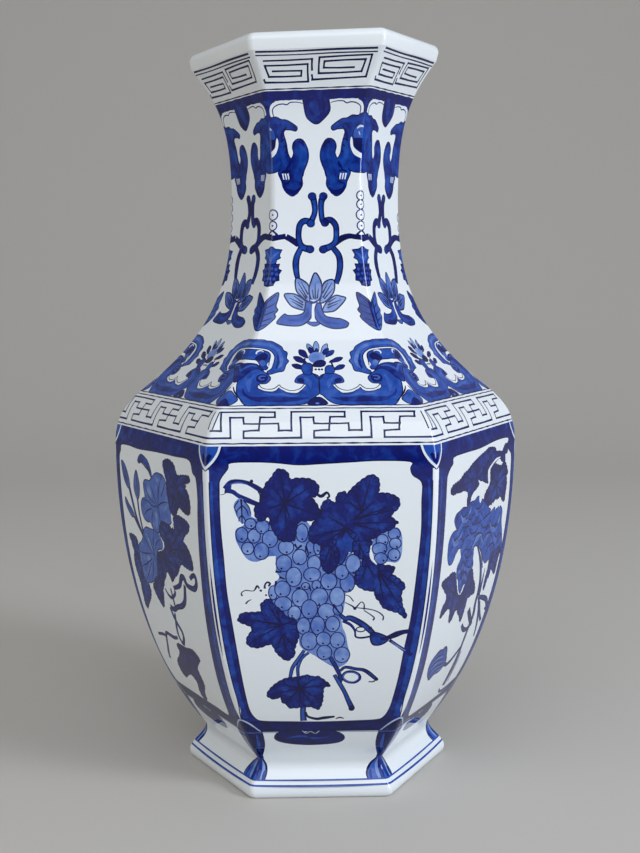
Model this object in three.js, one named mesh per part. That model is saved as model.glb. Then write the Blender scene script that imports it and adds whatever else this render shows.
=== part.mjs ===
// A hexagonal blue-and-white porcelain vase, built the way slab ware is built: moulded wall
// slabs with mitred edges stand in two tiers on a foot ring, round a floor slab, under a
// rolled mouth rim. Millimetres, +Z up, origin at the middle of the foot's underside.
import * as THREE from "three";

// Radii of the outer profile, from the axis to a corner of the hexagon.
const FOOT_RADIUS = 66.5;
const WAIST_RADIUS = 58;
const BELLY_RADIUS = 101.2;
const SHOULDER_RADIUS = 84.2;
const NECK_RADIUS = 41.5;
const MOUTH_RADIUS = 60;

// Heights above the surface that the vase stands on.
const TOTAL_HEIGHT = 355;
const BELLY_HEIGHT = 162;
const WAIST_HEIGHT = 17.5;
const FOOT_EDGE_HEIGHT = 3.5;

// Thicknesses and edges of the clay.
const WALL = 6.5;
const FOOT_WALL = 14;
const FLOOR_THICKNESS = 7;
const RIM_THICKNESS = 8;
const RIM_OVERHANG = 1;
const SHOULDER_RISE = 30.5;
const CORNER_ROUNDING = 3.5;
const FOOT_BEVEL = 2.5;
const LUTING_GAP = 0.8;

// The narrowest point of the neck and the joint between the tiers, as shares of the stretch they lie in.
const NECK_SHARE = 0.5858;
const TIER_SEAM_SHARE = 0.3607;

// How far each curve runs on straight out of its two ends, as shares of its own rise, with the
// outward part of the belly's and the mouth's swell as a share of how far the curve widens.
const FOOT_RUN = { low: 0.32, high: 0.4 };
const BELLY_RUN = { low: 0.2111, high: 0.4429 };
const BELLY_SWELL = 0.6134;
const SHOULDER_RUN = { low: 0.59, high: 0.2295 };
const NECK_RUN = { low: 0.2762, high: 0.4751 };
const SHOULDER_SLOPE = 1.25;
const MOUTH_RUN = { low: 0.5469, high: 0.2656 };
const MOUTH_SWELL = 0.7297;
const BEVEL_SHARE = 0.3;

const SIDES = 6;
const CORNER_STEPS = 3;
const FOOT_STEPS = 6;
const BELLY_STEPS = 18;
const SHOULDER_STEPS = 6;
const SEAM_STEPS = 3;
const NECK_STEPS = 16;
const MOUTH_STEPS = 9;
const RIM_STEPS = 8;
const HALVINGS = 50;

const SECTOR = (2 * Math.PI) / SIDES;
const FACE_SHARE = Math.cos(SECTOR / 2);
const EDGE_SLOPE = Math.tan(SECTOR / 2);

const RIM_SEAM_HEIGHT = TOTAL_HEIGHT - RIM_THICKNESS;
const SHOULDER_HEIGHT = BELLY_HEIGHT + SHOULDER_RISE;
const NECK_HEIGHT = SHOULDER_HEIGHT + NECK_SHARE * (RIM_SEAM_HEIGHT - SHOULDER_HEIGHT);
const TIER_SEAM_HEIGHT = BELLY_HEIGHT + TIER_SEAM_SHARE * SHOULDER_RISE;

// One stretch of the profile, a Bezier curve in (corner radius, height). The radius moves by
// leave and arrive along the straight run out of each end.
function stretch(low, high, run, leave = 0, arrive = 0) {
  const rise = high.height - low.height;
  return new THREE.CubicBezierCurve(
    new THREE.Vector2(low.radius, low.height),
    new THREE.Vector2(low.radius + leave, low.height + run.low * rise),
    new THREE.Vector2(high.radius + arrive, high.height - run.high * rise),
    new THREE.Vector2(high.radius, high.height),
  );
}

const footEdge = { radius: FOOT_RADIUS, height: FOOT_EDGE_HEIGHT };
const waist = { radius: WAIST_RADIUS, height: WAIST_HEIGHT };
const belly = { radius: BELLY_RADIUS, height: BELLY_HEIGHT };
const shoulder = { radius: SHOULDER_RADIUS, height: SHOULDER_HEIGHT };
const neck = { radius: NECK_RADIUS, height: NECK_HEIGHT };
const mouth = { radius: MOUTH_RADIUS, height: RIM_SEAM_HEIGHT };

const bellySwell = BELLY_SWELL * (BELLY_RADIUS - WAIST_RADIUS);
const shoulderLean = SHOULDER_SLOPE * SHOULDER_RUN.high * SHOULDER_RISE;
const neckLean = SHOULDER_SLOPE * NECK_RUN.low * (NECK_HEIGHT - SHOULDER_HEIGHT);
const mouthSwell = MOUTH_SWELL * (MOUTH_RADIUS - NECK_RADIUS);

const footCurve = stretch(footEdge, waist, FOOT_RUN);
const bellyCurve = stretch(waist, belly, BELLY_RUN, bellySwell);
const shoulderCurve = stretch(belly, shoulder, SHOULDER_RUN, 0, shoulderLean);
const neckCurve = stretch(shoulder, neck, NECK_RUN, -neckLean);
const mouthCurve = stretch(neck, mouth, MOUTH_RUN, 0, -mouthSwell);

// Where a curve crosses a height, found by halving.
function parameterAt(path, height) {
  let low = 0;
  let high = 1;
  for (let i = 0; i < HALVINGS; i++) {
    const middle = (low + high) / 2;
    const below = path.getPoint(middle).y < height;
    low = below ? middle : low;
    high = below ? high : middle;
  }
  return (low + high) / 2;
}

function samples(path, steps, from = 0, to = 1) {
  return Array.from({ length: steps + 1 }, (_, i) => {
    const p = path.getPoint(from + ((to - from) * i) / steps);
    return { radius: p.x, height: p.y };
  });
}

// One sixth of a hexagonal outline with rounded corners: (outwards, sideways) points of the
// face that looks along its own +X, from one mitre plane to the other.
function facePoints(radius) {
  const apothem = radius * FACE_SHARE;
  const centreX = apothem - CORNER_ROUNDING;
  const centreY = centreX * EDGE_SLOPE;
  const half = Array.from({ length: CORNER_STEPS + 1 }, (_, i) => {
    const turn = (SECTOR / 2) * (1 - i / CORNER_STEPS);
    return [
      centreX + CORNER_ROUNDING * Math.cos(turn),
      -centreY - CORNER_ROUNDING * Math.sin(turn),
    ];
  });
  return [...half, ...half.map(([x, y]) => [x, -y]).reverse()];
}

function geometryOf(points, index) {
  const geometry = new THREE.BufferGeometry();
  geometry.setAttribute("position", new THREE.Float32BufferAttribute(points.flat(), 3));
  geometry.setIndex(index);
  geometry.computeVertexNormals();
  return geometry;
}

// Two triangles for each step round and between two neighbouring loops of count points.
function loopTriangles(lower, upper, count) {
  return Array.from({ length: count }, (_, i) => {
    const next = (i + 1) % count;
    const [a, b] = [lower * count + i, lower * count + next];
    const [c, d] = [upper * count + next, upper * count + i];
    return [a, b, c, a, c, d];
  }).flat();
}

// A closed mesh from a stack of rings, with the same cap on both ends.
function stackedRings(rings, cap) {
  const count = rings[0].length;
  const top = (rings.length - 1) * count;
  const sides = rings.slice(1).flatMap((_, level) => loopTriangles(level, level + 1, count));
  const ends = cap.flatMap(([a, b, c]) => [a, c, b, top + a, top + b, top + c]);
  return geometryOf(rings.flat(), [...sides, ...ends]);
}

// A wall slab: the face's outline outside, a flat inside, and mitred edges between them.
function slabGeometry(levels) {
  const rings = levels.map(({ radius, height }) => {
    const inner = radius * FACE_SHARE - WALL;
    const inside = [
      [inner, inner * EDGE_SLOPE],
      [inner, -inner * EDGE_SLOPE],
    ];
    return [...facePoints(radius), ...inside].map(([x, y]) => [x, y, height]);
  });
  const near = rings[0].length - 1;
  const far = near - 1;
  const nearFan = Array.from({ length: CORNER_STEPS + 1 }, (_, i) => [near, i, i + 1]);
  const farFan = Array.from({ length: CORNER_STEPS }, (_, i) => {
    const corner = CORNER_STEPS + 1 + i;
    return [far, corner, corner + 1];
  });
  const cap = [...nearFan, [near, CORNER_STEPS + 1, far], ...farFan];
  return stackedRings(rings, cap);
}

// A hexagonal ring swept round the axis from a closed section of (corner radius, height),
// given anticlockwise when the axis is on the left.
function ringGeometry(section) {
  const loops = section.map(({ radius, height }) =>
    Array.from({ length: SIDES }, (_, side) => {
      const [cos, sin] = [Math.cos(side * SECTOR), Math.sin(side * SECTOR)];
      const points = facePoints(radius).slice(0, -1);
      return points.map(([x, y]) => [x * cos - y * sin, x * sin + y * cos, height]);
    }).flat(),
  );
  const index = loops.flatMap((loop, row) =>
    loopTriangles(row, (row + 1) % loops.length, loop.length),
  );
  return geometryOf(loops.flat(), index);
}

const porcelain = { color: 0xe9edf0, roughness: 0.12, metalness: 0 };
const bareClay = { color: 0xd8cfc0, roughness: 0.75, metalness: 0 };

// Every slab and ring is drawn with a face along +X. A quarter turn brings it to the front, -Y.
const FRONT_TURN = -Math.PI / 2;

function piece(name, geometry, finish, turn = 0) {
  const mesh = new THREE.Mesh(geometry, new THREE.MeshStandardMaterial(finish));
  mesh.name = name;
  mesh.rotation.z = FRONT_TURN + turn;
  return mesh;
}

// The foot: a flared hexagonal ring with a rounded edge, flat on top at the waist.
function footRing() {
  const inner = FOOT_RADIUS - FOOT_WALL / FACE_SHARE;
  const eased = BEVEL_SHARE * FOOT_BEVEL;
  const section = [
    { radius: FOOT_RADIUS - FOOT_BEVEL, height: 0 },
    { radius: FOOT_RADIUS - eased, height: eased },
    ...samples(footCurve, FOOT_STEPS),
    { radius: inner - FOOT_BEVEL, height: WAIST_HEIGHT },
    { radius: inner, height: 0 },
  ];
  return piece("foot_ring", ringGeometry(section), porcelain);
}

// The floor: a hexagonal slab that lies on the foot ring, inside the lower wall slabs.
function floorSlab() {
  const radius = (WAIST_RADIUS * FACE_SHARE - WALL - LUTING_GAP) / FACE_SHARE;
  const rings = [WAIST_HEIGHT, WAIST_HEIGHT + FLOOR_THICKNESS].map((height) =>
    Array.from({ length: SIDES }, (_, i) => {
      const turn = (i + 0.5) * SECTOR;
      return [radius * Math.cos(turn), radius * Math.sin(turn), height];
    }),
  );
  const cap = Array.from({ length: SIDES - 2 }, (_, i) => [0, i + 1, i + 2]);
  return piece("floor_slab", stackedRings(rings, cap), bareClay);
}

// The mouth: a rolled hexagonal rim on top of the upper wall slabs.
function mouthRim() {
  const half = RIM_THICKNESS / 2;
  const middle = MOUTH_RADIUS - half + RIM_OVERHANG;
  const roll = Array.from({ length: RIM_STEPS + 1 }, (_, i) => {
    const turn = (Math.PI * i) / RIM_STEPS;
    return {
      radius: middle + half * Math.cos(turn),
      height: TOTAL_HEIGHT - half + half * Math.sin(turn),
    };
  });
  const inner = { radius: MOUTH_RADIUS - WALL / FACE_SHARE, height: RIM_SEAM_HEIGHT };
  return piece("mouth_rim", ringGeometry([mouth, ...roll, inner]), porcelain);
}

// The six sides, named as they are seen with the front slab facing -Y.
const SIDE_NAMES = ["front", "front_right", "back_right", "back", "back_left", "front_left"];

function wallTier(prefix, levels) {
  return SIDE_NAMES.map((side, i) =>
    piece(`${prefix}_${side}`, slabGeometry(levels), porcelain, i * SECTOR),
  );
}

const seam = parameterAt(shoulderCurve, TIER_SEAM_HEIGHT);
const lowerLevels = [
  ...samples(bellyCurve, BELLY_STEPS),
  ...samples(shoulderCurve, SEAM_STEPS, 0, seam).slice(1),
];
const upperLevels = [
  ...samples(shoulderCurve, SHOULDER_STEPS, seam, 1),
  ...samples(neckCurve, NECK_STEPS).slice(1),
  ...samples(mouthCurve, MOUTH_STEPS).slice(1),
];

const vase = new THREE.Group();
vase.add(footRing(), floorSlab());
vase.add(...wallTier("belly_slab", lowerLevels));
vase.add(...wallTier("neck_slab", upperLevels));
vase.add(mouthRim());

export default vase;
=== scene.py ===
# A hexagonal blue-and-white porcelain vase: slabs of porcelain luted at their edges, painted
# with cobalt under a clear glaze. Lengths are in millimetres up to the mesh, which is in metres.
import math

import bpy
import numpy as np
from mathutils import Matrix, Vector, geometry


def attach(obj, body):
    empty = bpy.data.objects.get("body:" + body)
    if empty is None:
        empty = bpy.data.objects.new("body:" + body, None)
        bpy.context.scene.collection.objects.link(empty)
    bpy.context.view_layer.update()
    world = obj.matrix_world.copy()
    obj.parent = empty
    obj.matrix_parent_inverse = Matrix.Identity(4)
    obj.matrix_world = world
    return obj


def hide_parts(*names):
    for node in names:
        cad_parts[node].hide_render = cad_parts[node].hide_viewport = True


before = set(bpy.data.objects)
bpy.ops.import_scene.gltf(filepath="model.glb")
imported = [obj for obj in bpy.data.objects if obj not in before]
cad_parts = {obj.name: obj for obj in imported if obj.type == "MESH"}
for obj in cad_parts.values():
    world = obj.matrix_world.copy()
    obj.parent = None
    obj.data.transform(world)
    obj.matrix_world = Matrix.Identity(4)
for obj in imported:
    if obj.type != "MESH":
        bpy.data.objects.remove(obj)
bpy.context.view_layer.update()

MM = 0.001
SIDES = ["front", "front_right", "back_right", "back", "back_left", "front_left"]
SECTOR = math.pi / 3
TAN30, COS30 = math.tan(SECTOR / 2), math.cos(SECTOR / 2)

# The belly slabs: six wall slabs of white porcelain, each pressed in a mould and luted to the next
# at a mitred edge. Each is painted with a cobalt frame round a white panel, with a grape vine, a
# climbing plant or a tree peony, and then glazed. Their curve, with the neck's above it and the
# foot's below, is the CAD part's own, in (corner radius, height).
FOOT, WAIST, BELLY = (66.5, 3.5), (58, 17.5), (101.2, 162)
SHOULDER, NECK, MOUTH = (84.2, 192.5), (41.5, 283), (60, 347)
CURVES = [
    [WAIST, (84.5, 48), (101.2, 98), BELLY],
    [BELLY, (101.2, 180), (92.95, 185.5), SHOULDER],
    [SHOULDER, (52.95, 217.5), (41.5, 240), NECK],
    [NECK, (41.5, 318), (46.5, 330), MOUTH],
]
FOOT_CURVE = [FOOT, (66.5, 8), (58, 11.9), WAIST]
FOOT_BEVEL = [(64, 0), (65, 0.3), (65.8, 1), (66.3, 2)]
SEAM_HEIGHT = 173
WALL, FOOT_WALL, FLOOR_THICKNESS, LUTING_GAP = 6.5, 14, 7, 0.8
ROUNDING = 3.5
# The fired foot bows out along each side, and the mouth leans from this height up.
FOOT_BOW, BOW_TOP, BOW_RUN = 2, 12, 9
LEAN, LEAN_FROM = 0.04, 270
# The belly's painting is measured from this far below the waist.
WAIST_MARK = 2.43


def bezier(ends, count):
    """Points along one cubic curve."""
    t = np.linspace(0, 1, count)[:, None]
    a, b, c, d = np.array(ends, float)
    return (1 - t) ** 3 * a + 3 * (1 - t) ** 2 * t * b + 3 * (1 - t) * t * t * c + t**3 * d


class Profile:
    """A line of (corner radius, height) with the distance along a face's middle."""

    def __init__(self, points, inside, start=0.0):
        self.radius, self.height = np.array(points, float).T
        self.inside = inside
        self.depth = self.radius * COS30
        steps = np.hypot(np.diff(self.depth), np.diff(self.height))
        self.along = start + np.concatenate([[0], np.cumsum(steps)])
        self.bow = 0 * self.along
        tangent = np.stack([np.gradient(self.depth, self.along), np.gradient(self.height, self.along)])
        self.tangent = tangent / np.hypot(*tangent)

    def at(self, values, s):
        return np.interp(s, self.along, values)

    def half_width(self, s):
        """Half of the sheet's width before it is bent: the flat and half of a rounded corner."""
        return self.at(self.radius, s) / 2 + ROUNDING * (SECTOR / 2 - TAN30)


wall_points = [p for k, c in enumerate(CURVES) for p in bezier(c, 80)[min(k, 1):]]
wall = Profile(wall_points, lambda depth, height: depth - WALL, WAIST_MARK)
foot_points = [*FOOT_BEVEL, *bezier(FOOT_CURVE, 40)]
foot_side = Profile(foot_points, lambda depth, height: FOOT[0] * COS30 - FOOT_WALL - 0.12 * height)
foot_side.bow = FOOT_BOW * np.clip((BOW_TOP - foot_side.height) / BOW_RUN, 0, 1)
SEAM = float(np.interp(SEAM_HEIGHT, wall.height, wall.along))

# Glaze gathers where the foot meets the wall, so the crease there is shaded soft: the way the surface faces
# is blended across it, while its shape stays sharp.
CREASE_REACH = 4
crease = foot_side.tangent[:, -1:] + wall.tangent[:, :1]
from_waist = [wall.along - WAIST_MARK, foot_side.along[-1] - foot_side.along]
for profile, distance in zip((wall, foot_side), from_waist):
    share = np.exp(-(distance / CREASE_REACH) ** 2)
    blended = (1 - share) * profile.tangent + share * crease / np.hypot(*crease)
    profile.tangent = blended / np.hypot(*blended)


def triangulate(points, edges, rows, limit):
    """Triangles that keep every edge and end at the sheet's outline, and each point's new number."""
    found = geometry.delaunay_2d_cdt([Vector(p) for p in points], edges, [], 0, 1e-4, True)
    flat = np.array([v[:] for v in found[0]])
    triangles = np.array([f[:] for f in found[2]])
    across, up = flat[triangles].mean(1).T
    a, b, c = (flat[triangles[:, i]] for i in range(3))
    area = (b[:, 0] - a[:, 0]) * (c[:, 1] - a[:, 1]) - (c[:, 0] - a[:, 0]) * (b[:, 1] - a[:, 1])
    triangles[area < 0] = triangles[area < 0][:, ::-1]
    within = (np.abs(across) < np.interp(up, rows, limit) - 1e-4) & (up > rows[0]) & (up < rows[-1])
    number = {old: new for new, olds in enumerate(found[3]) for old in olds}
    return flat, triangles[within & (np.abs(area) > 1e-7)], number


def inside_polygon(polygon, points):
    """True for each point that the polygon winds round."""
    x, y = points[:, :1], points[:, 1:]
    x0, y0 = polygon.T
    x1, y1 = np.roll(x0, -1), np.roll(y0, -1)
    cross = (x1 - x0) * (y - y0) - (x - x0) * (y1 - y0)
    up = (y0 <= y) & (y1 > y) & (cross > 0)
    down = (y0 > y) & (y1 <= y) & (cross < 0)
    return up.sum(1) - down.sum(1) != 0


def sheet(profile, low, high, design, spacing):
    """A flat sheet of triangles between two distances up the profile, with the tone of each."""
    rows = np.linspace(low, high, round((high - low) / spacing) + 1)
    wide = profile.half_width(rows)
    flat = wide - ROUNDING * SECTOR / 2
    points, edges = [], []

    def add(line, closed=False):
        start = len(points)
        points.extend(line)
        edges.extend((start + i, start + i + 1) for i in range(len(line) - 1))
        if closed:
            edges.append((start + len(line) - 1, start))

    for x in (-wide, -(flat + wide) / 2, -flat, flat, (flat + wide) / 2, wide):
        add(list(zip(x, rows)))
    for w, row in zip(wide, rows):
        add([(-w, row), (w, row)])
    for outline, _ in design:
        add([tuple(p) for p in outline], True)
    verts, triangles, _ = triangulate(points, edges, rows, wide)
    used, triangles = np.unique(triangles, return_inverse=True)
    verts, triangles = verts[used], triangles.reshape(-1, 3)
    middle = verts[triangles].mean(1)
    tones = np.zeros(len(triangles))
    for outline, tone in design:
        near = np.flatnonzero(((middle > outline.min(0)) & (middle < outline.max(0))).all(1))
        if len(near):
            tones[near[inside_polygon(outline, middle[near])]] = tone
    return verts, triangles, tones, rows, wide


def border(triangles):
    """The sheet's outline as one loop of vertex numbers."""
    known = {pair for a, b, c in triangles.tolist() for pair in ((a, b), (b, c), (c, a))}
    following = {a: b for a, b in known if (b, a) not in known}
    loop = [min(following)]
    while following[loop[-1]] != loop[0]:
        loop.append(following[loop[-1]])
    return np.array(loop)


def turned(side):
    """The turn that brings the front face to one of the six sides."""
    a = side * SECTOR
    return np.array([[math.cos(a), -math.sin(a), 0], [math.sin(a), math.cos(a), 0], [0, 0, 1]])


def bend(profile, verts, rows, wide, turn):
    """Where the sheet's points lie on the vase, and which way its surface faces there."""
    u, s = verts.T
    limit = np.interp(s, rows, wide)
    phi = np.clip((np.abs(u) - limit) / ROUNDING + SECTOR / 2, 0, SECTOR / 2)
    phi[np.abs(u) > limit - 0.01] = SECTOR / 2
    depth, height = profile.at(profile.depth, s), profile.at(profile.height, s)
    half = (depth - ROUNDING) * TAN30
    x = np.sign(u) * (np.where(phi > 0, half, np.minimum(np.abs(u), half)) + ROUNDING * np.sin(phi))
    out = depth - ROUNDING * (1 - np.cos(phi)) + profile.at(profile.bow, s) * (1 - (u / limit) ** 2)
    td, th = profile.at(profile.tangent[0], s), profile.at(profile.tangent[1], s)
    normal = [th * np.sin(phi) * np.sign(u), -th * np.cos(phi), -td * (TAN30 * np.sin(phi) + np.cos(phi))]
    normal = np.stack(normal, 1)
    normal /= np.linalg.norm(normal, axis=1)[:, None]
    return np.stack([x, -out, height], 1) @ turn.T, normal @ turn.T


def slab_parts(profile, drawn, side, mitred=True):
    """A wall slab: the painted sheet outside, a plain sheet inside and the edges between them."""
    verts, triangles, tones, rows, wide = drawn
    turn = turned(side)
    outer, facing = bend(profile, verts, rows, wide, turn)
    loop = border(triangles)
    rim, count, last = verts[loop], len(loop), len(rows)
    ends = [(way * w, r) for way in (-1, 1) for w, r in zip(wide, rows)]
    edges = [(i, (i + 1) % count) for i in range(count)]
    edges += [(count + i, count + last + i) for i in range(1, last - 1)]
    back, plain, number = triangulate(rim.tolist() + ends, edges, rows, wide)
    plain = plain[:, ::-1]
    u, s = back.T
    height = profile.at(profile.height, s)
    depth = profile.inside(profile.at(profile.depth, s), height)
    inner = np.stack([u / np.interp(s, rows, wide) * depth * TAN30, -depth, height], 1) @ turn.T
    run, rise = profile.at(profile.tangent[0], s), profile.at(profile.tangent[1], s)
    inward = np.stack([0 * u, rise, run], 1) @ turn.T
    base = len(outer)
    faces = triangles.tolist() + (plain + base).tolist()
    normals = facing[triangles].reshape(-1, 3).tolist() + inward[plain].reshape(-1, 3).tolist()
    places = np.vstack([outer, inner])
    at_side = np.abs(rim[:, 0]) > np.interp(rim[:, 1], rows, wide) - 1e-3
    for i in range(count):
        j = (i + 1) % count
        quad = [int(loop[j]), int(loop[i]), base + number[i], base + number[j]]
        if quad[2] == quad[3] or (not mitred and at_side[i] and at_side[j]):
            continue
        faces.append(quad)
        p = places[quad]
        n = np.cross(p[2] - p[0], p[3] - p[1])
        normals += [(n / max(np.linalg.norm(n), 1e-12)).tolist()] * 4
    unpainted = len(faces) - len(triangles)
    return places, faces, [*tones, *[0] * unpainted], [0] * len(triangles) + [1] * unpainted, normals


def mesh_object(name, parts, materials, sharp=None):
    """A mesh with its paint in the attribute "cobalt"; the mouth of the fired vase is lower at its left."""
    places, faces, tones, slots, normals = parts
    share = np.clip((places[:, 2] - LEAN_FROM) / (MOUTH[1] - LEAN_FROM), 0, 1)
    places = places + np.outer(LEAN * places[:, 0] * share * share * (3 - 2 * share), [0, 0, 1])
    mesh = bpy.data.meshes.new(name)
    mesh.from_pydata((places * MM).tolist(), [], faces)
    for m in materials:
        mesh.materials.append(m)
    mesh.polygons.foreach_set("material_index", slots)
    mesh.polygons.foreach_set("use_smooth", [True] * len(faces))
    layer = mesh.attributes.new("cobalt", "FLOAT", "CORNER")
    layer.data.foreach_set("value", np.repeat(tones, [len(f) for f in faces]))
    mesh.update()
    if normals:
        mesh.normals_split_custom_set(normals)
    else:
        mesh.set_sharp_from_angle(angle=math.radians(sharp))
    thing = bpy.data.objects.new(name, mesh)
    bpy.context.scene.collection.objects.link(thing)
    return thing


def stands_for(piece, node):
    """The piece rides the vase's one body, in place of its CAD node."""
    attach(piece, "root")
    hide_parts(node)


# What the pieces are finished with: white porcelain painted with cobalt under a clear glaze, the
# same glaze over unpainted clay inside, and bare biscuit clay under the foot.
def linear(code):
    """A colour written as hex, as linear light."""
    parts = [int(code[i:i + 2], 16) / 255 for i in (1, 3, 5)]
    return [c / 12.92 if c <= 0.04045 else ((c + 0.055) / 1.055) ** 2.4 for c in parts] + [1]


def add_node(tree, kind, settings=None, links=None):
    """A node with its settings, by name, and its links, each from another node's output."""
    made = tree.nodes.new(kind)
    for name, value in (settings or {}).items():
        if isinstance(name, int) or name in made.inputs.keys():
            made.inputs[name].default_value = value
        else:
            setattr(made, name, value)
    for name, (other, output) in (links or {}).items():
        tree.links.new(other.outputs[output], made.inputs[name])
    return made


def new_material(name, **settings):
    made = bpy.data.materials.new(name)
    made.use_nodes = True
    shader = made.node_tree.nodes["Principled BSDF"]
    for key, value in settings.items():
        shader.inputs[key.replace("_", " ")].default_value = value
    return made, made.node_tree, shader


def noise(tree, scale, detail, distortion=0.0):
    """A noise in the clay or the paint by the place on the piece, so many turns to the metre."""
    place = add_node(tree, "ShaderNodeTexCoord")
    settings = {"Scale": scale, "Detail": detail, "Distortion": distortion}
    return add_node(tree, "ShaderNodeTexNoise", settings, {"Vector": (place, "Object")})


def colour(tree, shader, source, stops):
    """The colours that a value runs through, into the shader."""
    ramp = add_node(tree, "ShaderNodeValToRGB", links={"Fac": source})
    for position, _ in stops[1:-1]:
        ramp.color_ramp.elements.new(position)
    for element, (_, code) in zip(ramp.color_ramp.elements, stops):
        element.color = linear(code)
    tree.links.new(ramp.outputs["Color"], shader.inputs["Base Color"])


def uneven(tree, source, strength, height, normal):
    """A bump of a noise, so many metres high, into one of the shader's normals."""
    settings = {"Strength": strength, "Distance": height}
    bump = add_node(tree, "ShaderNodeBump", settings, {"Height": (source, "Fac")})
    tree.links.new(bump.outputs["Normal"], normal)


GLAZE = {"Specular_IOR_Level": 0.0, "Roughness": 0.5, "Coat_Weight": 1.0, "Coat_IOR": 1.45}
COBALT = [(0.0, "#e2e9ee"), (0.06, "#d3dfed"), (0.3, "#86a3d8"), (0.5, "#4667b6"), (0.7, "#1547a4"),
          (0.86, "#001068"), (1.0, "#000640")]


def glazed_porcelain():
    """Cobalt on white porcelain under a clear, slightly rippled glaze; paint of middling depth pools
    and streaks."""
    made, tree, shader = new_material("porcelain_with_cobalt_under_clear_glaze", Coat_Roughness=0.03, **GLAZE)
    paint = add_node(tree, "ShaderNodeAttribute", {"attribute_name": "cobalt"})
    pools, brush, ripple = noise(tree, 150, 3, 0.6), noise(tree, 320, 2), noise(tree, 60, 2)

    def sum_node(operation, settings, links):
        return add_node(tree, "ShaderNodeMath", {"operation": operation, **settings}, links)

    pooled = sum_node("MULTIPLY_ADD", {1: 1.5, 2: -1.0}, {0: (pools, "Fac")})
    streaked = sum_node("MULTIPLY_ADD", {1: 0.5}, {0: (brush, "Fac"), 2: (pooled, "Value")})
    spare = sum_node("SUBTRACT", {0: 1.2}, {1: (paint, "Fac")})
    reach = sum_node("MULTIPLY", {}, {0: (paint, "Fac"), 1: (spare, "Value")})
    swing = sum_node("MULTIPLY", {}, {0: (streaked, "Value"), 1: (reach, "Value")})
    depth = sum_node("MULTIPLY_ADD", {1: 0.8}, {0: (swing, "Value"), 2: (paint, "Fac")})
    colour(tree, shader, (depth, "Value"), COBALT)
    uneven(tree, ripple, 0.06, 0.001, shader.inputs["Coat Normal"])
    return made


def plain_glaze():
    made, tree, shader = new_material("clear_glaze_on_white_porcelain", Coat_Roughness=0.04, **GLAZE)
    colour(tree, shader, (noise(tree, 25, 3), "Fac"), [(0, "#dfe6ea"), (1, "#e9eef1")])
    return made


def bare_clay():
    made, tree, shader = new_material("unglazed_biscuit_clay", Roughness=0.8)
    grain = noise(tree, 900, 5)
    colour(tree, shader, (grain, "Fac"), [(0, "#c9bca6"), (1, "#e2d8c8")])
    uneven(tree, grain, 0.3, 0.0004, shader.inputs["Normal"])
    return made


painted, white, clay = glazed_porcelain(), plain_glaze(), bare_clay()


# The tones of a line at full strength and of glaze with no paint under it.
LINE, BARE = 1.0, 0.0


def smooth(points, closed=False, steps=4):
    """A curve through the points, as close-set points."""
    p = np.array(points, float)
    if len(p) < 3:
        return np.linspace(*p, steps)
    before, after = (p[-1], p[:2]) if closed else (2 * p[0] - p[1], [2 * p[-1] - p[-2]])
    p = np.vstack([before, p, after])
    t = np.arange(steps)[:, None] / steps
    out = [b + (c - a) / 2 * t + (a - 2.5 * b + 2 * c - d / 2) * t * t + (3 * b - a - 3 * c + d) / 2 * t**3
           for a, b, c, d in zip(p, p[1:], p[2:], p[3:])]
    return np.vstack(out if closed else [*out, p[-2]])


def ribbon(line, widths):
    """The outline of a brush stroke along a line; widths are given from start to end."""
    line = np.array(line, float)
    t = np.concatenate([[0], np.cumsum(np.hypot(*np.diff(line, axis=0).T))])
    w = np.interp(t / t[-1], np.linspace(0, 1, len(widths)), widths)
    d = np.gradient(line, axis=0)
    d /= np.maximum(np.hypot(*d.T), 1e-9)[:, None]
    side = np.stack([-d[:, 1], d[:, 0]], 1) * w[:, None] / 2
    return np.vstack([line + side, (line - side)[::-1]])


def scalloped(points, pitch=2.7, depth=0.36):
    """A leaf's edge drawn in small scallops, and the short strokes that run in from its notches."""
    loop = smooth(points, True, 8)
    loop = np.vstack([loop, loop[:1]])
    arc = np.concatenate([[0], np.cumsum(np.hypot(*np.diff(loop, axis=0).T))])
    count = max(3, round(arc[-1] / pitch))
    at = np.linspace(0, arc[-1], 5 * count, endpoint=False)
    line = np.stack([np.interp(at, arc, loop[:, 0]), np.interp(at, arc, loop[:, 1])], 1)
    d = np.roll(line, -1, 0) - np.roll(line, 1, 0)
    out = np.stack([d[:, 1], -d[:, 0]], 1) / np.hypot(*d.T)[:, None]
    if (line[:, 0] * np.roll(line[:, 1], -1) - np.roll(line[:, 0], -1) * line[:, 1]).sum() < 0:
        out = -out
    swell = np.abs(np.sin(np.pi * at * count / arc[-1]))
    margin = line + (depth * (swell - 0.6))[:, None] * out
    notches = range(0, len(at), 5)
    return margin, [(margin[k], margin[k] - (1.8 + 0.8 * math.sin(k)) * out[k]) for k in notches]


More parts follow.
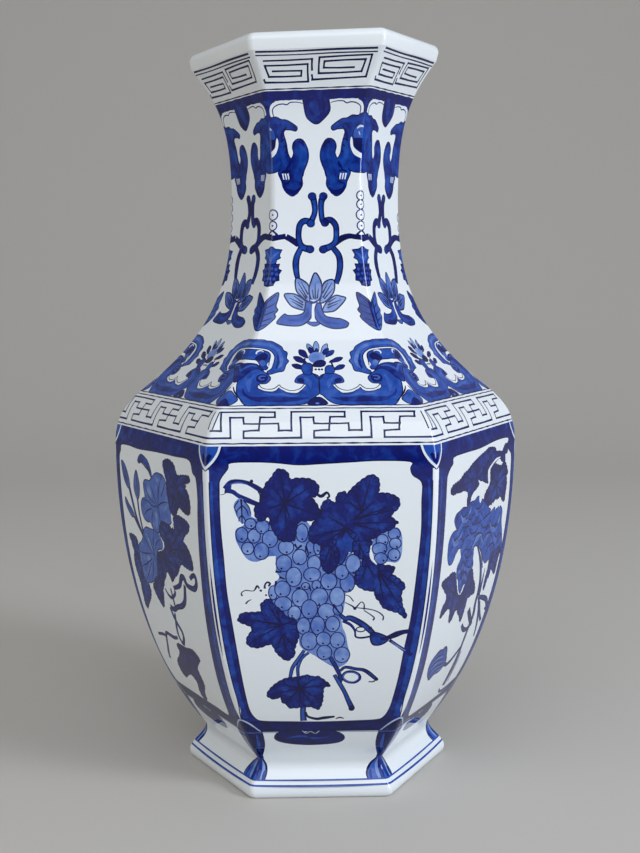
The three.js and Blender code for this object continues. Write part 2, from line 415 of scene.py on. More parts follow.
class Painting:
    """Brush strokes in the order they were laid, each an outline with the depth of its blue. Points
    are (across, up) from the middle of a face, or from its right corner while hung is set; side -1
    mirrors them."""

    def __init__(self, profile, start=0.0):
        self.profile, self.start, self.strokes = profile, start, []
        self.side, self.shift, self.hung = 1, 0.0, False

    def corner(self, up):
        """How far the slab's edge is from its middle line."""
        return self.profile.at(self.profile.radius, up) / 2

    def patch(self, points, tone):
        across, up = np.array(points, float).T
        up = up + self.start
        across = across + self.shift + (self.corner(up) if self.hung else 0)
        self.strokes.append((np.stack([self.side * across, up], 1), tone))

    def band(self, low, high, tone, wobble=0.0):
        """A band right across the face, its edges a little uneven."""
        x = np.linspace(-58, 58, 30)
        top = np.stack([x, high + wobble * np.sin(0.9 * x + high)], 1)
        foot = np.stack([x, low + wobble * np.sin(0.7 * x + low)], 1)
        self.patch([*top, *foot[::-1]], tone)

    def fill(self, points, tone):
        self.patch(smooth(points, True), tone)

    def line(self, points, widths, tone=LINE):
        self.patch(ribbon(smooth(points), widths), tone)

    def lines(self, each, widths, tone=LINE):
        for points in each:
            self.line(points, widths, tone)

    def edge(self, points, width, tone=LINE):
        """A line all the way round a closed shape."""
        loop = smooth(points, True)
        self.patch(ribbon([*loop, loop[0]], [width, width]), tone)

    def shape(self, points, tone, width=0.5, rim=LINE):
        self.fill(points, tone)
        self.edge(points, width, rim)

    def ruled(self, points, width, tone=LINE):
        """A line with square corners, as even as a steady hand makes it."""
        for a, b in zip(np.array(points, float), np.array(points[1:], float)):
            along = (b - a) / np.hypot(*(b - a)) * width / 2
            aside = np.array([-along[1], along[0]]) * 0.3 * math.sin(a[0] + 2 * b[1])
            widths = [width + 0.12 * width * math.sin(3 * a[0] + a[1]), 0.88 * width,
                      width + 0.12 * width * math.sin(b[0] + 3 * b[1])]
            self.patch(ribbon([a - along, (a + b) / 2 + aside, b + along], widths), tone)

    def oval(self, x, y, across, up, tone, width=0, rim=LINE, count=16):
        a = np.linspace(0, 2 * math.pi, count, endpoint=False)
        ring = np.stack([x + across * np.cos(a), y + up * np.sin(a)], 1)
        self.patch(ring, tone)
        if width:
            self.patch(ribbon([*ring, ring[0]], [width, width]), rim)

    def dot(self, x, y, radius, tone=LINE):
        self.oval(x, y, radius, radius, tone, count=8)

    def stem(self, points, widths, tone, rim=LINE, share=0.5):
        """A dark stroke with a paler one down its middle."""
        self.line(points, widths, rim)
        self.line(points, [w * share for w in widths], tone)

    def stems(self, each, tone, share=0.5):
        for points, widths in each:
            self.stem(points, widths, tone, share=share)

    def leaf(self, points, veins, tone, pale=0.58):
        """A dark leaf: paler washes beside its veins, a scalloped edge with a short stroke in each
        notch, and from each base a dark vein with its side veins to each tip."""
        margin, notches = scalloped(points)
        self.patch(margin, tone)
        ribs = [(np.array(base, float), np.subtract(tip, base)) for base, *tips in veins for tip in tips]
        for base, along in ribs:
            aside = np.array([-along[1], along[0]]) / np.hypot(*along)
            for way in (-1, 1):
                start, end = base + 0.2 * along + 1.2 * way * aside, base + 0.8 * along + 2.2 * way * aside
                self.line([start, end], [0.8, 3.4, 0.8], pale)
        for stroke in notches:
            self.patch(ribbon(stroke, [0.9, 0.25]), 0.97)
        self.patch(ribbon([*margin, margin[0]], [0.6, 0.6]), 0.97)
        for base, along in ribs:
            aside = np.array([-along[1], along[0]])
            self.line([base, base + along], [0.9, 0.7, 0.4], 0.98)
            for share, way in ((0.4, 1), (0.55, -1), (0.7, 1)):
                fork = base + share * along
                self.patch(ribbon([fork, fork + 0.12 * along + way * 0.1 * aside], [0.5, 0.2]), 0.95)


def framed(left, right, top, bottom):
    """A belly face with its frame: the white panel's two sides and ends, and what is at the corners.
    Points up the face are measured from WAIST_MARK below the waist."""
    art = Painting(wall)
    art.band(22.6, SEAM + 2, 0.86)
    for low, high, tone in ((22.6, 24.2, LINE), (24.2, 28.6, 0.93), (28.6, 30, LINE)):
        art.band(low, high, tone)
    rows = np.linspace(32, 150, 12)
    for way, bar in ((-1, left), (1, right)):
        out, up = np.array(sorted(bar, key=lambda p: p[1])).T
        middle = 0.56 * art.corner(rows) + 0.44 * np.interp(rows, up, np.abs(out))
        art.line(np.stack([way * middle, rows], 1), [2.6, 3, 2.6, 2, 1], 0.76)
    art.shape([*left, *bottom, *right, *top], BARE, 0.6)
    art.hung = True
    for art.side in (-1, 1):
        # the white stripe over the edge, with its rounded blue ends at the shoulder and the waist
        stripe = [(-np.interp(s, [31.5, 36], [0.6, 1.9]), s) for s in np.linspace(31.5, 155, 24)]
        art.patch([*stripe, (3, 155), (3, 31.5)], BARE)
        art.line(stripe[::2], [0.5, 0.5])
        bow = np.array([(-6.2, 165.4), (-5.4, 162), (-3.2, 158.4), (0.6, 154.6)])
        art.patch([*smooth(bow), (4, 154.6), (4, 168)], 0.66)
        art.line([(-2.4, 161.6), (0.4, 157.2)], [1.6, 2.4, 2.6], 0.9)
        art.line(bow, [1, 1.1, 1.3], 0.04)
        art.line(bow - [0.9, 0.2], [0.4, 0.5, 0.5])
        arch = [(-7.4, 22.8), (-4.4, 27.4), (-1.6, 30.2), (0.6, 30.8)]
        art.patch([*smooth(arch), (20, 30.8), (20, 22)], 0.97)
        art.line(arch, [0.5, 0.9, 1], 0.2)
        lobe = [(-8.2, 23), (-7.6, 18), (-6.4, 13), (-4.2, 8), (-2.6, 4.6), (-2.2, 1)]
        art.patch([*smooth(lobe), (20, 1), (20, 23)], 0.95)
        art.line([(-4.8, 20.6), (-3.8, 14.5), (-2, 8)], [0.6, 1.6, 0.5], 0.7)
    art.hung = False
    # the cloud under the frame
    art.band(21.9, 22.3, 0.5)
    art.shape([(-21.5, 18.6), (-20, 22), (-15, 23.4), (-9, 23), (-7, 21.4), (-5, 23), (0, 23.2), (6, 22.8),
        (10.2, 20.4), (11.2, 17.4), (9, 14.8), (3, 13.4), (-6, 13), (-14, 14), (-19.6, 16)], 0.93, 0.6)
    art.line([(-16, 18), (-9, 19.4), (-3, 17.8), (4, 18.6)], [0.4, 1.4, 0.8, 0.3], 0.76)
    art.line([(-8.6, 23.2), (-6.6, 21.3), (-4.8, 22.6), (-2.4, 21.2), (-0.6, 23)], [0.35, 0.35], 0.2)
    return art


# The front and back panels: a vine with three bunches of grapes.
plain_bar = [(31.6, 36.5), (33, 42), (35.4, 55), (37.5, 70), (40, 85), (41.6, 100), (43, 115), (44, 128),
    (44, 140), (44, 148.6), (40, 152), (39, 155), (39, 158)]
plain_foot = [(-27, 30), (-15, 29.4), (0, 29), (15, 29.4), (26, 30), (29.4, 32)]


def grape_panel():
    art = framed([(-39.5, 158), (-40.6, 155.4), (-44, 150.6), (-44.4, 146), (-44.4, 138), (-44, 128),
        (-43, 115), (-42, 100), (-40, 85), (-38, 70), (-36, 55), (-34, 42), (-32.6, 36), (-30.4, 32)],
        plain_bar, [(25, 158.6), (12, 158), (0, 157.4), (-10, 157), (-20, 158), (-30, 158.4)], plain_foot)
    # twigs at the upper left
    art.line([(-42, 146.6), (-39, 149.6), (-33, 149.5), (-28, 147), (-24.4, 144.4)],
        [2.2, 2.1, 1.7, 2.2, 2.4], 0.9)
    art.line([(-42, 146), (-38.5, 145.3), (-36, 143.5), (-31, 141), (-27, 139.4)], [2.2, 1.8, 2.4, 2], 0.86)
    art.line([(-40, 149), (-40.4, 146)], [2.2, 2.4], 0.84)
    art.line([(-39.5, 148.6), (-36, 149.4), (-32, 148.4)], [0.3, 0.8, 0.3], 0.58)
    art.line([(-27.6, 145.4), (-26.6, 143.6), (-26.9, 141)], [0.5, 0.7, 0.4])
    art.dot(-30.3, 149.9, 0.8)
    art.line([(-44, 144), (-42.4, 144.3), (-41, 145.2)], [0.2, 0.4])
    bud = [(-36, 142.3), (-38, 140), (-38, 137.6), (-37, 134.6), (-35.6, 132), (-34, 131), (-32, 132),
        (-30.6, 134), (-31, 137.4), (-34, 142)]
    art.fill(bud, 0.45)
    art.line([(-34.9, 142), (-34.7, 138), (-34.6, 131)], [0.9, 0.6, 0.5])
    art.lines([((-36, 141.4), (-37.8, 138.4), (-36.6, 135.8)),
        ((-34.8, 138.8), (-36.6, 137), (-36.9, 134.6)), ((-34.8, 134.6), (-35.8, 133.6), (-36, 132)),
        ((-34, 141.5), (-31.6, 138.6), (-30.7, 135.4)), ((-34.8, 139.5), (-32.6, 137.2), (-31.8, 134.6)),
        ((-34.7, 135), (-33.6, 133.4), (-32.8, 131.6))], [0.6, 0.5, 0.35])
    # wash behind the bunches, then each grape with its outline and its dot
    art.fill([(-37.4, 128.5), (-37.6, 124.6), (-36.6, 121.6), (-33.6, 116), (-31, 114), (-28, 113.7),
        (-25, 115), (-23, 116), (-18.6, 117), (-18, 123), (-21, 128), (-23, 132), (-28, 133), (-31, 134),
        (-34, 130.4)], 0.43)
    art.fill([(-20, 118), (-20, 112), (-20, 109), (-18.6, 106.4), (-20, 104.4), (-22, 101), (-23.6, 98),
        (-21.6, 95), (-20, 91), (-15, 87), (-11.6, 84), (-10.6, 80), (-10, 75.5), (-9, 71.6), (-3, 67.4),
        (0, 65), (6, 61), (9, 61.4), (12, 64), (13, 68), (12, 72), (11, 78), (9.5, 82), (9, 87), (10, 91),
        (10.5, 95), (10.6, 98), (13, 99.6), (14.6, 102), (15.6, 106), (17.3, 110), (17.4, 114), (14, 117),
        (6, 118), (0, 120), (-5, 125), (-5, 130), (-8.5, 132.6), (-12, 128), (-13, 122), (-18, 122)], 0.43)
    art.fill([(22.3, 118.5), (22.6, 123.6), (25, 126.4), (30, 128), (33.6, 128.6), (35.4, 125),
        (35.6, 119.4), (35, 115), (33, 112.6), (29, 113), (26, 111.6), (23.6, 114)], 0.4)
    grapes = [(-31, 131, 2.5, 2.3, -30.6, 130), (-34.8, 126, 2.7, 3.4, -34.9, 124.2),
        (-29.5, 125.4, 2.8, 3.2, -29.8, 123.5), (-25.8, 129.6, 3, 3.2, -26.3, 127.5),
        (-22.5, 124, 3.4, 3.9, -22.6, 121.4), (-32.3, 119.8, 2.7, 2.9, -32.4, 118.6),
        (-26.3, 118.5, 3.3, 3.9, -26.9, 116.1), (-15.5, 120.2, 3.4, 3.4, -15.2, 117.9),
        (-8.5, 126.6, 2.7, 4.2, -8.4, 123.8), (-4.6, 119, 2.4, 4, -4.9, 117.6),
        (-1.6, 120, 1.8, 3.4, -1.5, 118.4), (-16.5, 112.8, 3.5, 3.9, -17.6, 110.4),
        (-9.5, 115.6, 3.2, 3.6, -10.1, 112.6), (-3.2, 112.6, 3, 3.7, -3.4, 110),
        (-4.1, 107.4, 3.8, 3.3, -4.9, 105.5), (-12.2, 106.4, 3.5, 4.6, -13, 104),
        (-2.2, 102.4, 2, 2.3, -2, 101.4), (-7, 102, 1.8, 1.7, -7.4, 101.6),
        (-21.4, 99, 2, 3.4, -22.2, 97.8), (-17.2, 100.6, 3.5, 4, -18.1, 98.3),
        (-9.5, 96.4, 3.6, 4.3, -10.6, 94.7), (-17, 93.6, 3.9, 3.5, -17.6, 92),
        (-0.9, 96.8, 3.9, 4.3, -1, 93.2), (-12, 89, 2.9, 3.6, -13, 87.7),
        (-5.3, 90.8, 3.6, 4.7, -5.6, 88.6), (2.3, 89.6, 3.9, 4, 2.4, 87), (-8, 82.6, 3, 4.2, -8.2, 80.2),
        (-1.6, 82.8, 3.2, 4.6, -1.5, 80.3), (5, 83.4, 3.2, 3.9, 5.3, 81), (-5.5, 75, 3.7, 4.7, -5.8, 72),
        (1, 75.8, 3.3, 3.7, 0.8, 73.7), (7.2, 75.2, 3.3, 4.1, 7.6, 72.9), (1.4, 69, 3.4, 3.8, 1.1, 66.8),
        (9.3, 67.6, 3.6, 4.1, 9.8, 65.4), (3.3, 104.2, 3.6, 4.1, 3, 101.6),
        (7.4, 90.6, 2.2, 2.8, 7.6, 89.4), (7, 96.8, 3.4, 4.6, 5.6, 92.8),
        (11.5, 103.4, 3.3, 4.5, 12.4, 99.9), (9, 108.4, 3, 3.5, 9.3, 106.7),
        (14, 112.2, 3.3, 4.4, 14.2, 108.2), (32, 125.8, 2.7, 2.7, 33.4, 124.5),
        (32.5, 121.4, 2.6, 2.5, 33.2, 119.9), (26.7, 122.8, 2.7, 2.9, 28.1, 122),
        (25.6, 119, 3.3, 2.8, 27.8, 118), (32, 116.2, 2.7, 2.8, 32.8, 114.9),
        (26.2, 114.6, 2.9, 2.7, 27.4, 113.6)]
    for k, (x, s, wide, tall, dot_x, dot_s) in enumerate(grapes):
        art.oval(x, s, wide, tall, 0.42 + 0.03 * math.sin(2.4 * k), 0.52, 0.9)
        art.dot(dot_x, dot_s, 0.5)
    art.lines([((-8.6, 121), (-11.6, 118.6)), ((-6.8, 120.6), (-5.4, 116)),
        ((-11.8, 121.6), (-10.4, 119.4)), ((-9.2, 101.4), (-11.4, 101)), ((-5.4, 102), (-4.6, 99.6)),
        ((-18.6, 106.4), (-16, 105.4)), ((-20.3, 109), (-17.6, 108.6)), ((-19.9, 104.6), (-20.6, 102.6)),
        ((5.6, 92.4), (8.6, 88.2))], [1.1, 0.5])
    # leaves over the grapes
    art.shape([(9.5, 126.5), (11.3, 127), (14.5, 123), (13.5, 117.5), (12, 118), (10, 113.5), (8, 112),
        (7, 115), (6.3, 119), (6.5, 122.5)], 0.76, 0.6)
    art.leaf([(0.5, 121.5), (-0.6, 115), (1, 109.5), (4, 108), (7.7, 113.6), (6.6, 120), (5.5, 123)],
        [((4.6, 122), (1, 112), (3.4, 109.4), (6.2, 113.4))], 0.88, 0.84)
    art.leaf([(14.5, 123), (22, 123), (21, 118), (23.6, 112.4), (31, 111), (32.4, 109.6), (31, 107),
        (33, 106), (36.3, 103), (37, 101), (35.5, 98), (36, 92.5), (38, 87.4), (37.3, 86), (34.5, 88.5),
        (32, 89.3), (27.5, 91.3), (26, 94), (24, 96.5), (23.3, 99), (19, 100), (15, 103), (15, 108),
        (17, 110.4), (18, 112.4), (17.4, 114.5), (14.3, 117.4)],
        [((16.5, 121.5), (17, 115.6), (20, 113.4)), ((20, 112), (17.6, 103.4), (24, 105)),
        ((25, 108.6), (36.4, 89.4), (27.6, 95), (34.6, 101), (30, 108.8))], 0.84, 0.8)
    art.line([(21.3, 117.4), (22.2, 114.6), (24.4, 111.8)], [0.5, 1.3, 0.5], BARE)
    art.leaf([(-29, 138.5), (-28.6, 134), (-26, 132), (-23.5, 134), (-22.6, 133.5), (-22.3, 130.5),
        (-19.5, 125), (-17.5, 123), (-12.5, 123), (-11.4, 125), (-10, 131.4), (-6, 132), (-0.7, 133),
        (0, 135), (-2, 139.5), (-4, 142.5), (-2.5, 143), (-1, 147), (-4.5, 150.5), (-11, 151),
        (-13.4, 150.5), (-15, 154), (-19, 155), (-22, 151), (-24, 149), (-25, 146.5), (-26, 145),
        (-26.6, 141)],
        [((-16, 140), (-17.6, 153), (-21.6, 149), (-25, 137), (-21, 130), (-15, 124.6), (-12.4, 129),
        (-3, 135), (-4, 147.6), (-11, 149))], 0.87, 0.83)
    art.leaf([(0, 136.6), (0, 138.6), (1.6, 141), (3.6, 141.4), (6, 140), (7, 143.7), (10, 145),
        (11.3, 144), (13.5, 146.5), (18, 150.3), (22, 152.3), (25, 150.3), (25.3, 146), (25, 144.3),
        (29, 144), (33.5, 142), (34, 138), (30.6, 134), (33.6, 131), (32.5, 130), (31, 128), (26, 126),
        (24, 124.3), (20, 123), (14.5, 123), (11.4, 127), (7.5, 124.6), (5.5, 121), (0.5, 120.6),
        (-1.5, 121.6), (-3.5, 122), (-5.3, 123.5), (-5.3, 128), (-3, 132), (-0.6, 134)],
        [((11.4, 128.6), (3, 134), (-3.4, 125), (2.4, 123), (16, 125.4)),
        ((17.6, 136), (10, 142), (14.4, 145.6), (21.4, 150.4)),
        ((14, 132.4), (23.6, 141), (32.4, 139), (31, 136.6)), ((14, 130.6), (31, 131), (26, 127))], 0.86,
        0.82)
    art.line([(-2, 144), (0, 143), (2.4, 144.6), (3.5, 143), (2.4, 142)], [1.2, 1.6, 1.0, 0.9])
    art.leaf([(-35, 89.3), (-27, 90), (-27, 93.3), (-24, 96), (-22, 95.3), (-21, 93.5), (-17.5, 90),
        (-15, 87), (-11.6, 86), (-11, 80), (-10, 78), (-12, 71), (-12, 68), (-15.5, 65), (-20, 69),
        (-22.5, 73.5), (-27.5, 72), (-30, 72), (-32.5, 73), (-33.5, 75), (-33, 77.5), (-31, 82),
        (-36.5, 85), (-37, 86.5)],
        [((-18, 83.4), (-35, 86.6), (-24, 94), (-20, 91), (-12.4, 84.6), (-31, 75)),
        ((-17.4, 78.6), (-12.6, 73), (-15.4, 67.4), (-20, 71))], 0.85, 0.81)
    art.line([(-26, 80.4), (-23, 82), (-18.4, 83)], [0.4, 0.6, 0.7])
    # the lower leaf and its stems
    art.stems([([(-5.6, 69), (-8, 67), (-9.6, 64.6), (-10.6, 60.6), (-10.4, 56)], [1.4, 1.8, 1.5]),
        ([(-7.6, 70.3), (-10.4, 65.6), (-13, 61), (-14, 56)], [1.6, 2, 1.7]),
        ([(-8.1, 39), (-8.3, 34.6), (-7.9, 29.8)], [2.8, 2.7, 3.2])], 0.66)
    art.line([(-7, 35.6), (-6, 32.6), (-2, 31), (1, 31.5), (6.4, 32.3)], [0.8, 1.4, 1.7, 1.9, 1.2])
    art.line([(6.9, 30.9), (8.9, 31.7), (10.8, 31)], [0.5, 1.0, 0.5])
    art.leaf([(-24.7, 46.4), (-21.7, 51.4), (-16, 55.3), (-10, 56), (-6.7, 57), (-3.3, 56), (-1, 56),
        (4, 51.4), (3, 50.4), (1.7, 50.6), (1, 48), (0.7, 42), (-1, 37), (-3.3, 38), (-6, 38.7), (-14, 38),
        (-15.6, 40), (-18, 42), (-18.3, 45), (-20.6, 43.7), (-23, 44)],
        [((-9.6, 49.6), (-23, 46), (-19, 52.4), (-11, 55.6), (-3, 55), (3, 51.4), (-1, 43), (-3, 39),
        (-10, 39.4), (-16, 41.6))], 0.86, 0.82)
    # branches on the right
    art.stem([(4, 66.6), (6, 62.6), (8, 58), (9, 54), (8.4, 52.6)], [2.2, 2.2, 1.6], 0.82)
    art.stem([(6, 57), (8.3, 52.4), (10.6, 47.6), (12.5, 42.4), (14.4, 37.4)], [1.8, 2.2, 2.1, 2.4, 2.8], 0.7)
    art.oval(14.2, 37.4, 1.5, 1.7, LINE)
    art.edge([(9.7, 55.4), (11, 58), (14, 58.6), (17, 57), (17.6, 54.6), (15.4, 52.6), (12, 53)], 1.4, 0.9)
    art.edge([(10, 55.4), (11, 57.6), (14, 58), (16.6, 57), (17, 54.6), (15, 53), (12, 53.3)], 0.5, 0.55)
    art.stem([(8.6, 59), (11, 61), (15.6, 60), (20, 59), (25, 54.4)], [1.4, 1.8, 1.8, 2.2, 1.9], 0.8,
        share=0.35)
    art.dot(25.2, 54.2, 1)
    art.line([(25.2, 54), (23.6, 52.8), (21.7, 52.9)], [0.8, 0.6])
    art.line([(9.5, 85), (13, 83), (15, 80), (15.4, 77), (18, 76.3), (22.4, 77)], [1.6, 1.4, 0.9, 1, 1],
        0.9)
    art.stem(
        [(8.4, 88), (10.6, 86), (12.6, 86.4), (15.5, 85), (19, 82.6), (21.5, 80.4), (24, 77.6), (26, 76)],
        [1.8, 2.8, 3.2, 2.8, 2.6], 0.74, share=0.45)
    art.oval(17.6, 80.6, 2, 1.2, BARE, 0.6)
    art.line([(21, 80.4), (22.6, 81.6)], [0.6, 1.1])
    art.shape([(22, 77.5), (23, 73), (26.6, 72.6), (30, 75), (29, 77), (24, 79)], 0.8, 0.7)
    art.line([(30.6, 75), (34.5, 72), (38, 69.3), (41, 67)], [1.6, 1.5, 1.8, 2.0], 0.9)
    art.line([(31.6, 74.2), (35, 71.4), (38, 69.4)], [0.3, 0.7, 0.4], 0.42)
    art.line([(26.6, 75.6), (29.5, 76), (35.4, 78.6), (40.4, 79.6)], [1.6, 2.2, 3.0, 2.3, 2.0], 0.95)
    # curling tendrils
    tendrils = [([(10.5, 97.6), (12.5, 96.8), (14.3, 94.4)], [0.35, 0.6]),
        ([(10.5, 94), (14, 92), (15, 91), (17.6, 94), (19, 93), (19, 90.4)],
        [0.4, 0.6, 0.9, 0.5, 0.5, 0.8]),
        ([(16, 91.3), (22, 90.4), (25.5, 89), (27.6, 87), (27.5, 85)], [0.4, 0.6, 0.5, 0.6, 0.7]),
        ([(19, 90), (23.4, 86.6), (23, 85)], [0.5, 0.5, 0.8]),
        ([(-35, 97.6), (-35.4, 99), (-33.5, 100.3), (-30, 100), (-28.4, 102.3), (-27.4, 101)],
        [0.8, 0.4, 0.5, 0.4, 1, 0.6]),
        ([(-25, 101), (-25, 102.6), (-24, 104), (-22.7, 103.4), (-23.4, 102)], [1.1, 0.8, 0.8, 1, 0.8]),
        ([(-33.6, 93.8), (-32.6, 95), (-31, 95.9)], [0.8, 0.6, 0.3])]
    for points, widths in tendrils:
        art.line(points, widths)
    art.dot(14.9, 91, 0.8)
    art.dot(-26.8, 100.1, 0.6)
    art.dot(-24.5, 97.9, 0.5)
    return art.strokes


def trumpet(art, outline, tone, folds, washes):
    """An open flower, with its folds drawn over soft washes."""
    art.shape(outline, tone, 0.6, 0.93)
    art.lines(washes, [1.2, 3.4, 1.4], 0.46)
    art.lines(folds, [0.3, 0.8, 0.5], 0.92)


# The two side panels with a climbing plant: buds, two trumpet flowers and broad leaves.
def bindweed_panel():
    art = framed([(-41.4, 155.7), (-42.5, 153), (-44, 150.7), (-44.5, 147.3), (-44.3, 132), (-43.4, 105),
        (-42, 84), (-40, 66), (-38, 48.4), (-36, 39.6), (-33, 32.3)],
        [(25.6, 30), (28, 39.6), (29.7, 48.4), (33.6, 67.3), (37, 87.3), (40, 109.6), (42, 132),
        (43, 140.7), (42.5, 147.3), (41.4, 150.7), (38.6, 152.3), (35, 157.5)],
        [(20, 157.4), (0, 157), (-20, 156), (-33, 156.4)],
        [(-29.6, 30), (-15, 29.4), (0, 29), (12, 29), (21.6, 28.4)])
    art.stems([([(-33.6, 135), (-30, 126.3), (-27, 119.6), (-22, 113)], [2.6, 2.2, 2.4]),
        ([(-24.5, 131), (-23.6, 123), (-21, 114)], [1.8, 1.8]),
        ([(-31.8, 122.4), (-26.8, 117.4), (-22, 113.6)], [1.8, 2.2])], 0.8)
    buds = [[(-42, 147.6), (-38.4, 146.3), (-35, 142.4), (-33, 137.6), (-33.4, 135), (-36, 135),
        (-39.6, 138.6), (-41.4, 143)],
        [(-24.3, 145), (-22, 141.3), (-21, 137.4), (-22, 133), (-24.4, 130.6), (-26.6, 132.6), (-28, 136.3),
        (-27, 141)],
        [(-39.7, 129.4), (-36, 126.6), (-32.4, 124.3), (-30, 121.4), (-33.6, 120.6), (-37.4, 123.4),
        (-39.7, 126.3)]]
    for bud in buds:
        art.shape(bud, 0.55, 0.8)
    art.lines([((-40.8, 145.4), (-35.6, 137.4)), ((-39.6, 141.6), (-35.4, 136.4)),
        ((-38, 145), (-34.2, 138.4)), ((-24.2, 144), (-24.3, 132)), ((-26.6, 139), (-25.4, 132.4)),
        ((-22.4, 139), (-23.4, 132.4)), ((-38.8, 127.4), (-32, 121.8))], [0.4, 0.9, 0.5])
    art.shape([(-22, 150), (-20, 152.6), (-17, 153.6), (-13, 152.6), (-9.7, 151), (-6.3, 146.6),
        (-6.4, 143.6), (-11.3, 148), (-17, 150), (-20, 149)], 0.78, 0.6, 0.97)
    art.line([(-7.4, 146), (-20, 150.6)], [0.9, 0.7, 0.4], 0.96)
    far = [(-16.3, 139.6), (-14.4, 141.6), (-11.4, 142), (-9, 142), (-6, 144), (-3, 146), (0, 147),
        (3, 147), (6.4, 146.6), (9.4, 144.4), (11, 140), (12, 133), (13.6, 129.4), (13.7, 126), (11, 124),
        (6.4, 124), (1.6, 124), (0.4, 121), (-1.4, 118.4), (-4.6, 117), (-8, 118), (-11, 121.4),
        (-14.4, 121), (-18, 122), (-20.4, 125), (-20.6, 129), (-18.4, 132), (-15.4, 133), (-16, 136.4)]
    near = [(-29.4, 106.6), (-25, 109.4), (-22.4, 112.4), (-20.4, 116), (-17, 118), (-12.5, 118), (-7, 118),
        (-2.5, 116.6), (0.6, 113), (-1, 110), (-5.6, 108.6), (-8, 104), (-9.4, 99), (-11.4, 94), (-15, 92),
        (-19, 89.6), (-23, 88.4), (-27.6, 87.6), (-29.7, 90), (-29.4, 96.3), (-30, 102)]
    far_folds = [((-15, 140), (-12.6, 136), (-9, 133.4), (-4, 131.6)),
        ((-8.8, 142), (-6, 137.4), (-3, 133), (-0.6, 129.6)),
        ((5.6, 146.6), (2.8, 142.4), (0.6, 137), (-0.8, 130)),
        ((11.8, 134.4), (7, 134), (2, 132.4), (-2, 130)),
        ((-18.6, 131.4), (-12, 131.6), (-7, 130), (-2, 130.6)), ((-8.6, 118.4), (-9, 123), (-6.4, 128)),
        ((0.8, 124), (0.2, 127), (-1.2, 130)), ((9.6, 144), (6.6, 139.8), (3.4, 136)),
        ((-17.6, 124), (-13, 127), (-8, 128.6))]
    far_washes = [((-12, 138.6), (-7, 133)), ((0, 144), (-2.6, 135)), ((9, 131.4), (2, 130)),
        ((-16, 128.6), (-9, 129.6)), ((-4, 120), (-4, 127))]
    trumpet(art, far, 0.53, far_folds, far_washes)
    near_folds = [((-22, 113), (-16, 108), (-11, 104.6)),
        ((-18.6, 116.6), (-14.4, 112.6), (-11.6, 107), (-10, 101.6)),
        ((-8.4, 117.6), (-10, 112.6), (-11.6, 106)), ((-29.6, 103.4), (-22, 103.8), (-14, 105.4)),
        ((-29, 96), (-22, 98.6), (-15, 102.4)), ((-27.6, 88.4), (-22, 93.6), (-16.4, 100)),
        ((-19, 90), (-16.4, 95), (-13.6, 101)), ((-1.6, 114.6), (-6, 112.4), (-9.6, 108))]
    near_washes = [((-16, 113), (-12.4, 106.6)), ((-6, 115), (-9.6, 108.6)), ((-26, 101), (-17, 102.4)),
        ((-24, 92), (-17, 98.6))]
    trumpet(art, near, 0.52, near_folds, near_washes)
    art.leaf([(7, 152.4), (8.6, 154), (12.6, 155), (16.6, 154.4), (19.6, 153), (22.6, 149), (28, 149.6),
        (34.6, 150), (35.7, 148), (34, 147), (28, 145), (31.4, 143.6), (34, 141), (35, 136.6), (34, 133),
        (30.6, 132), (26.4, 133), (23, 134), (19, 130), (15.4, 129.4), (13, 131.6), (10.4, 140),
        (10.6, 144), (8.4, 148.4)],
        [((20, 142.6), (10, 152.6), (17, 153.6), (33.6, 148.4), (33.6, 137), (29, 133)),
        ((17.4, 138), (12.4, 140), (14.4, 131), (19, 131.6))], 0.88, 0.83)
    art.leaf([(16, 128.5), (21, 130), (26, 129.6), (30.4, 128.6), (32.6, 127), (31, 124), (27.6, 122),
        (24.6, 118.6), (27.4, 117), (30.4, 114), (32, 110), (31.6, 106.4), (28, 105.6), (23, 106),
        (19, 106.4), (14, 101), (10, 98.4), (5, 95), (1.6, 99), (-3, 95), (-5, 91.4), (-7.4, 88.4),
        (-9, 84.6), (-10, 80.4), (-12, 78), (-14.6, 79.6), (-17.6, 83), (-19.6, 87), (-17, 90),
        (-12.4, 92.4), (-10.4, 96.4), (-9.3, 102), (-6.6, 107), (-1, 109), (2, 111), (2.4, 114), (-2, 118),
        (2, 123.6), (10.6, 123.5), (13, 122.3), (15.6, 124.6)],
        [((8, 112), (28, 127), (30, 114), (29, 108), (18, 108.4)), ((2, 105.6), (14, 104), (-6.6, 93)),
        ((-9, 94.6), (-17.4, 86.6), (-12, 80.4), (-6, 90.6)), ((6, 118), (1, 121.4), (11, 121.6))], 0.87,
        0.82)
    art.line([(15.4, 122.8), (14.2, 126), (13.8, 129.2)], [0.6, 1.2, 0.6], BARE)
    art.leaf([(-39.7, 109.4), (-38.4, 111), (-32.4, 110.7), (-30, 108.4), (-30.4, 101), (-30, 96.3),
        (-29.4, 91), (-27.4, 88), (-24.6, 87), (-24, 83.4), (-26.4, 79.4), (-30, 76), (-34.4, 72),
        (-36.4, 74), (-36, 78), (-35.4, 83), (-36.4, 88), (-38, 93), (-38, 98.4), (-35.4, 104.6),
        (-37.6, 106.4)],
        [((-33, 100), (-36.8, 109.6), (-31.6, 109)), ((-32, 90), (-36.6, 96), (-34.4, 76), (-27, 83))],
        0.82, 0.76)
    specks = [[(1, 98.6), (2.6, 98.4), (6, 93), (3.4, 93.6), (1.4, 95.6)],
        [(7, 91.6), (10.6, 92.6), (15, 92.6), (14.6, 89), (11, 87), (7.4, 87)]]
    for speck in specks:
        art.fill(speck, BARE)
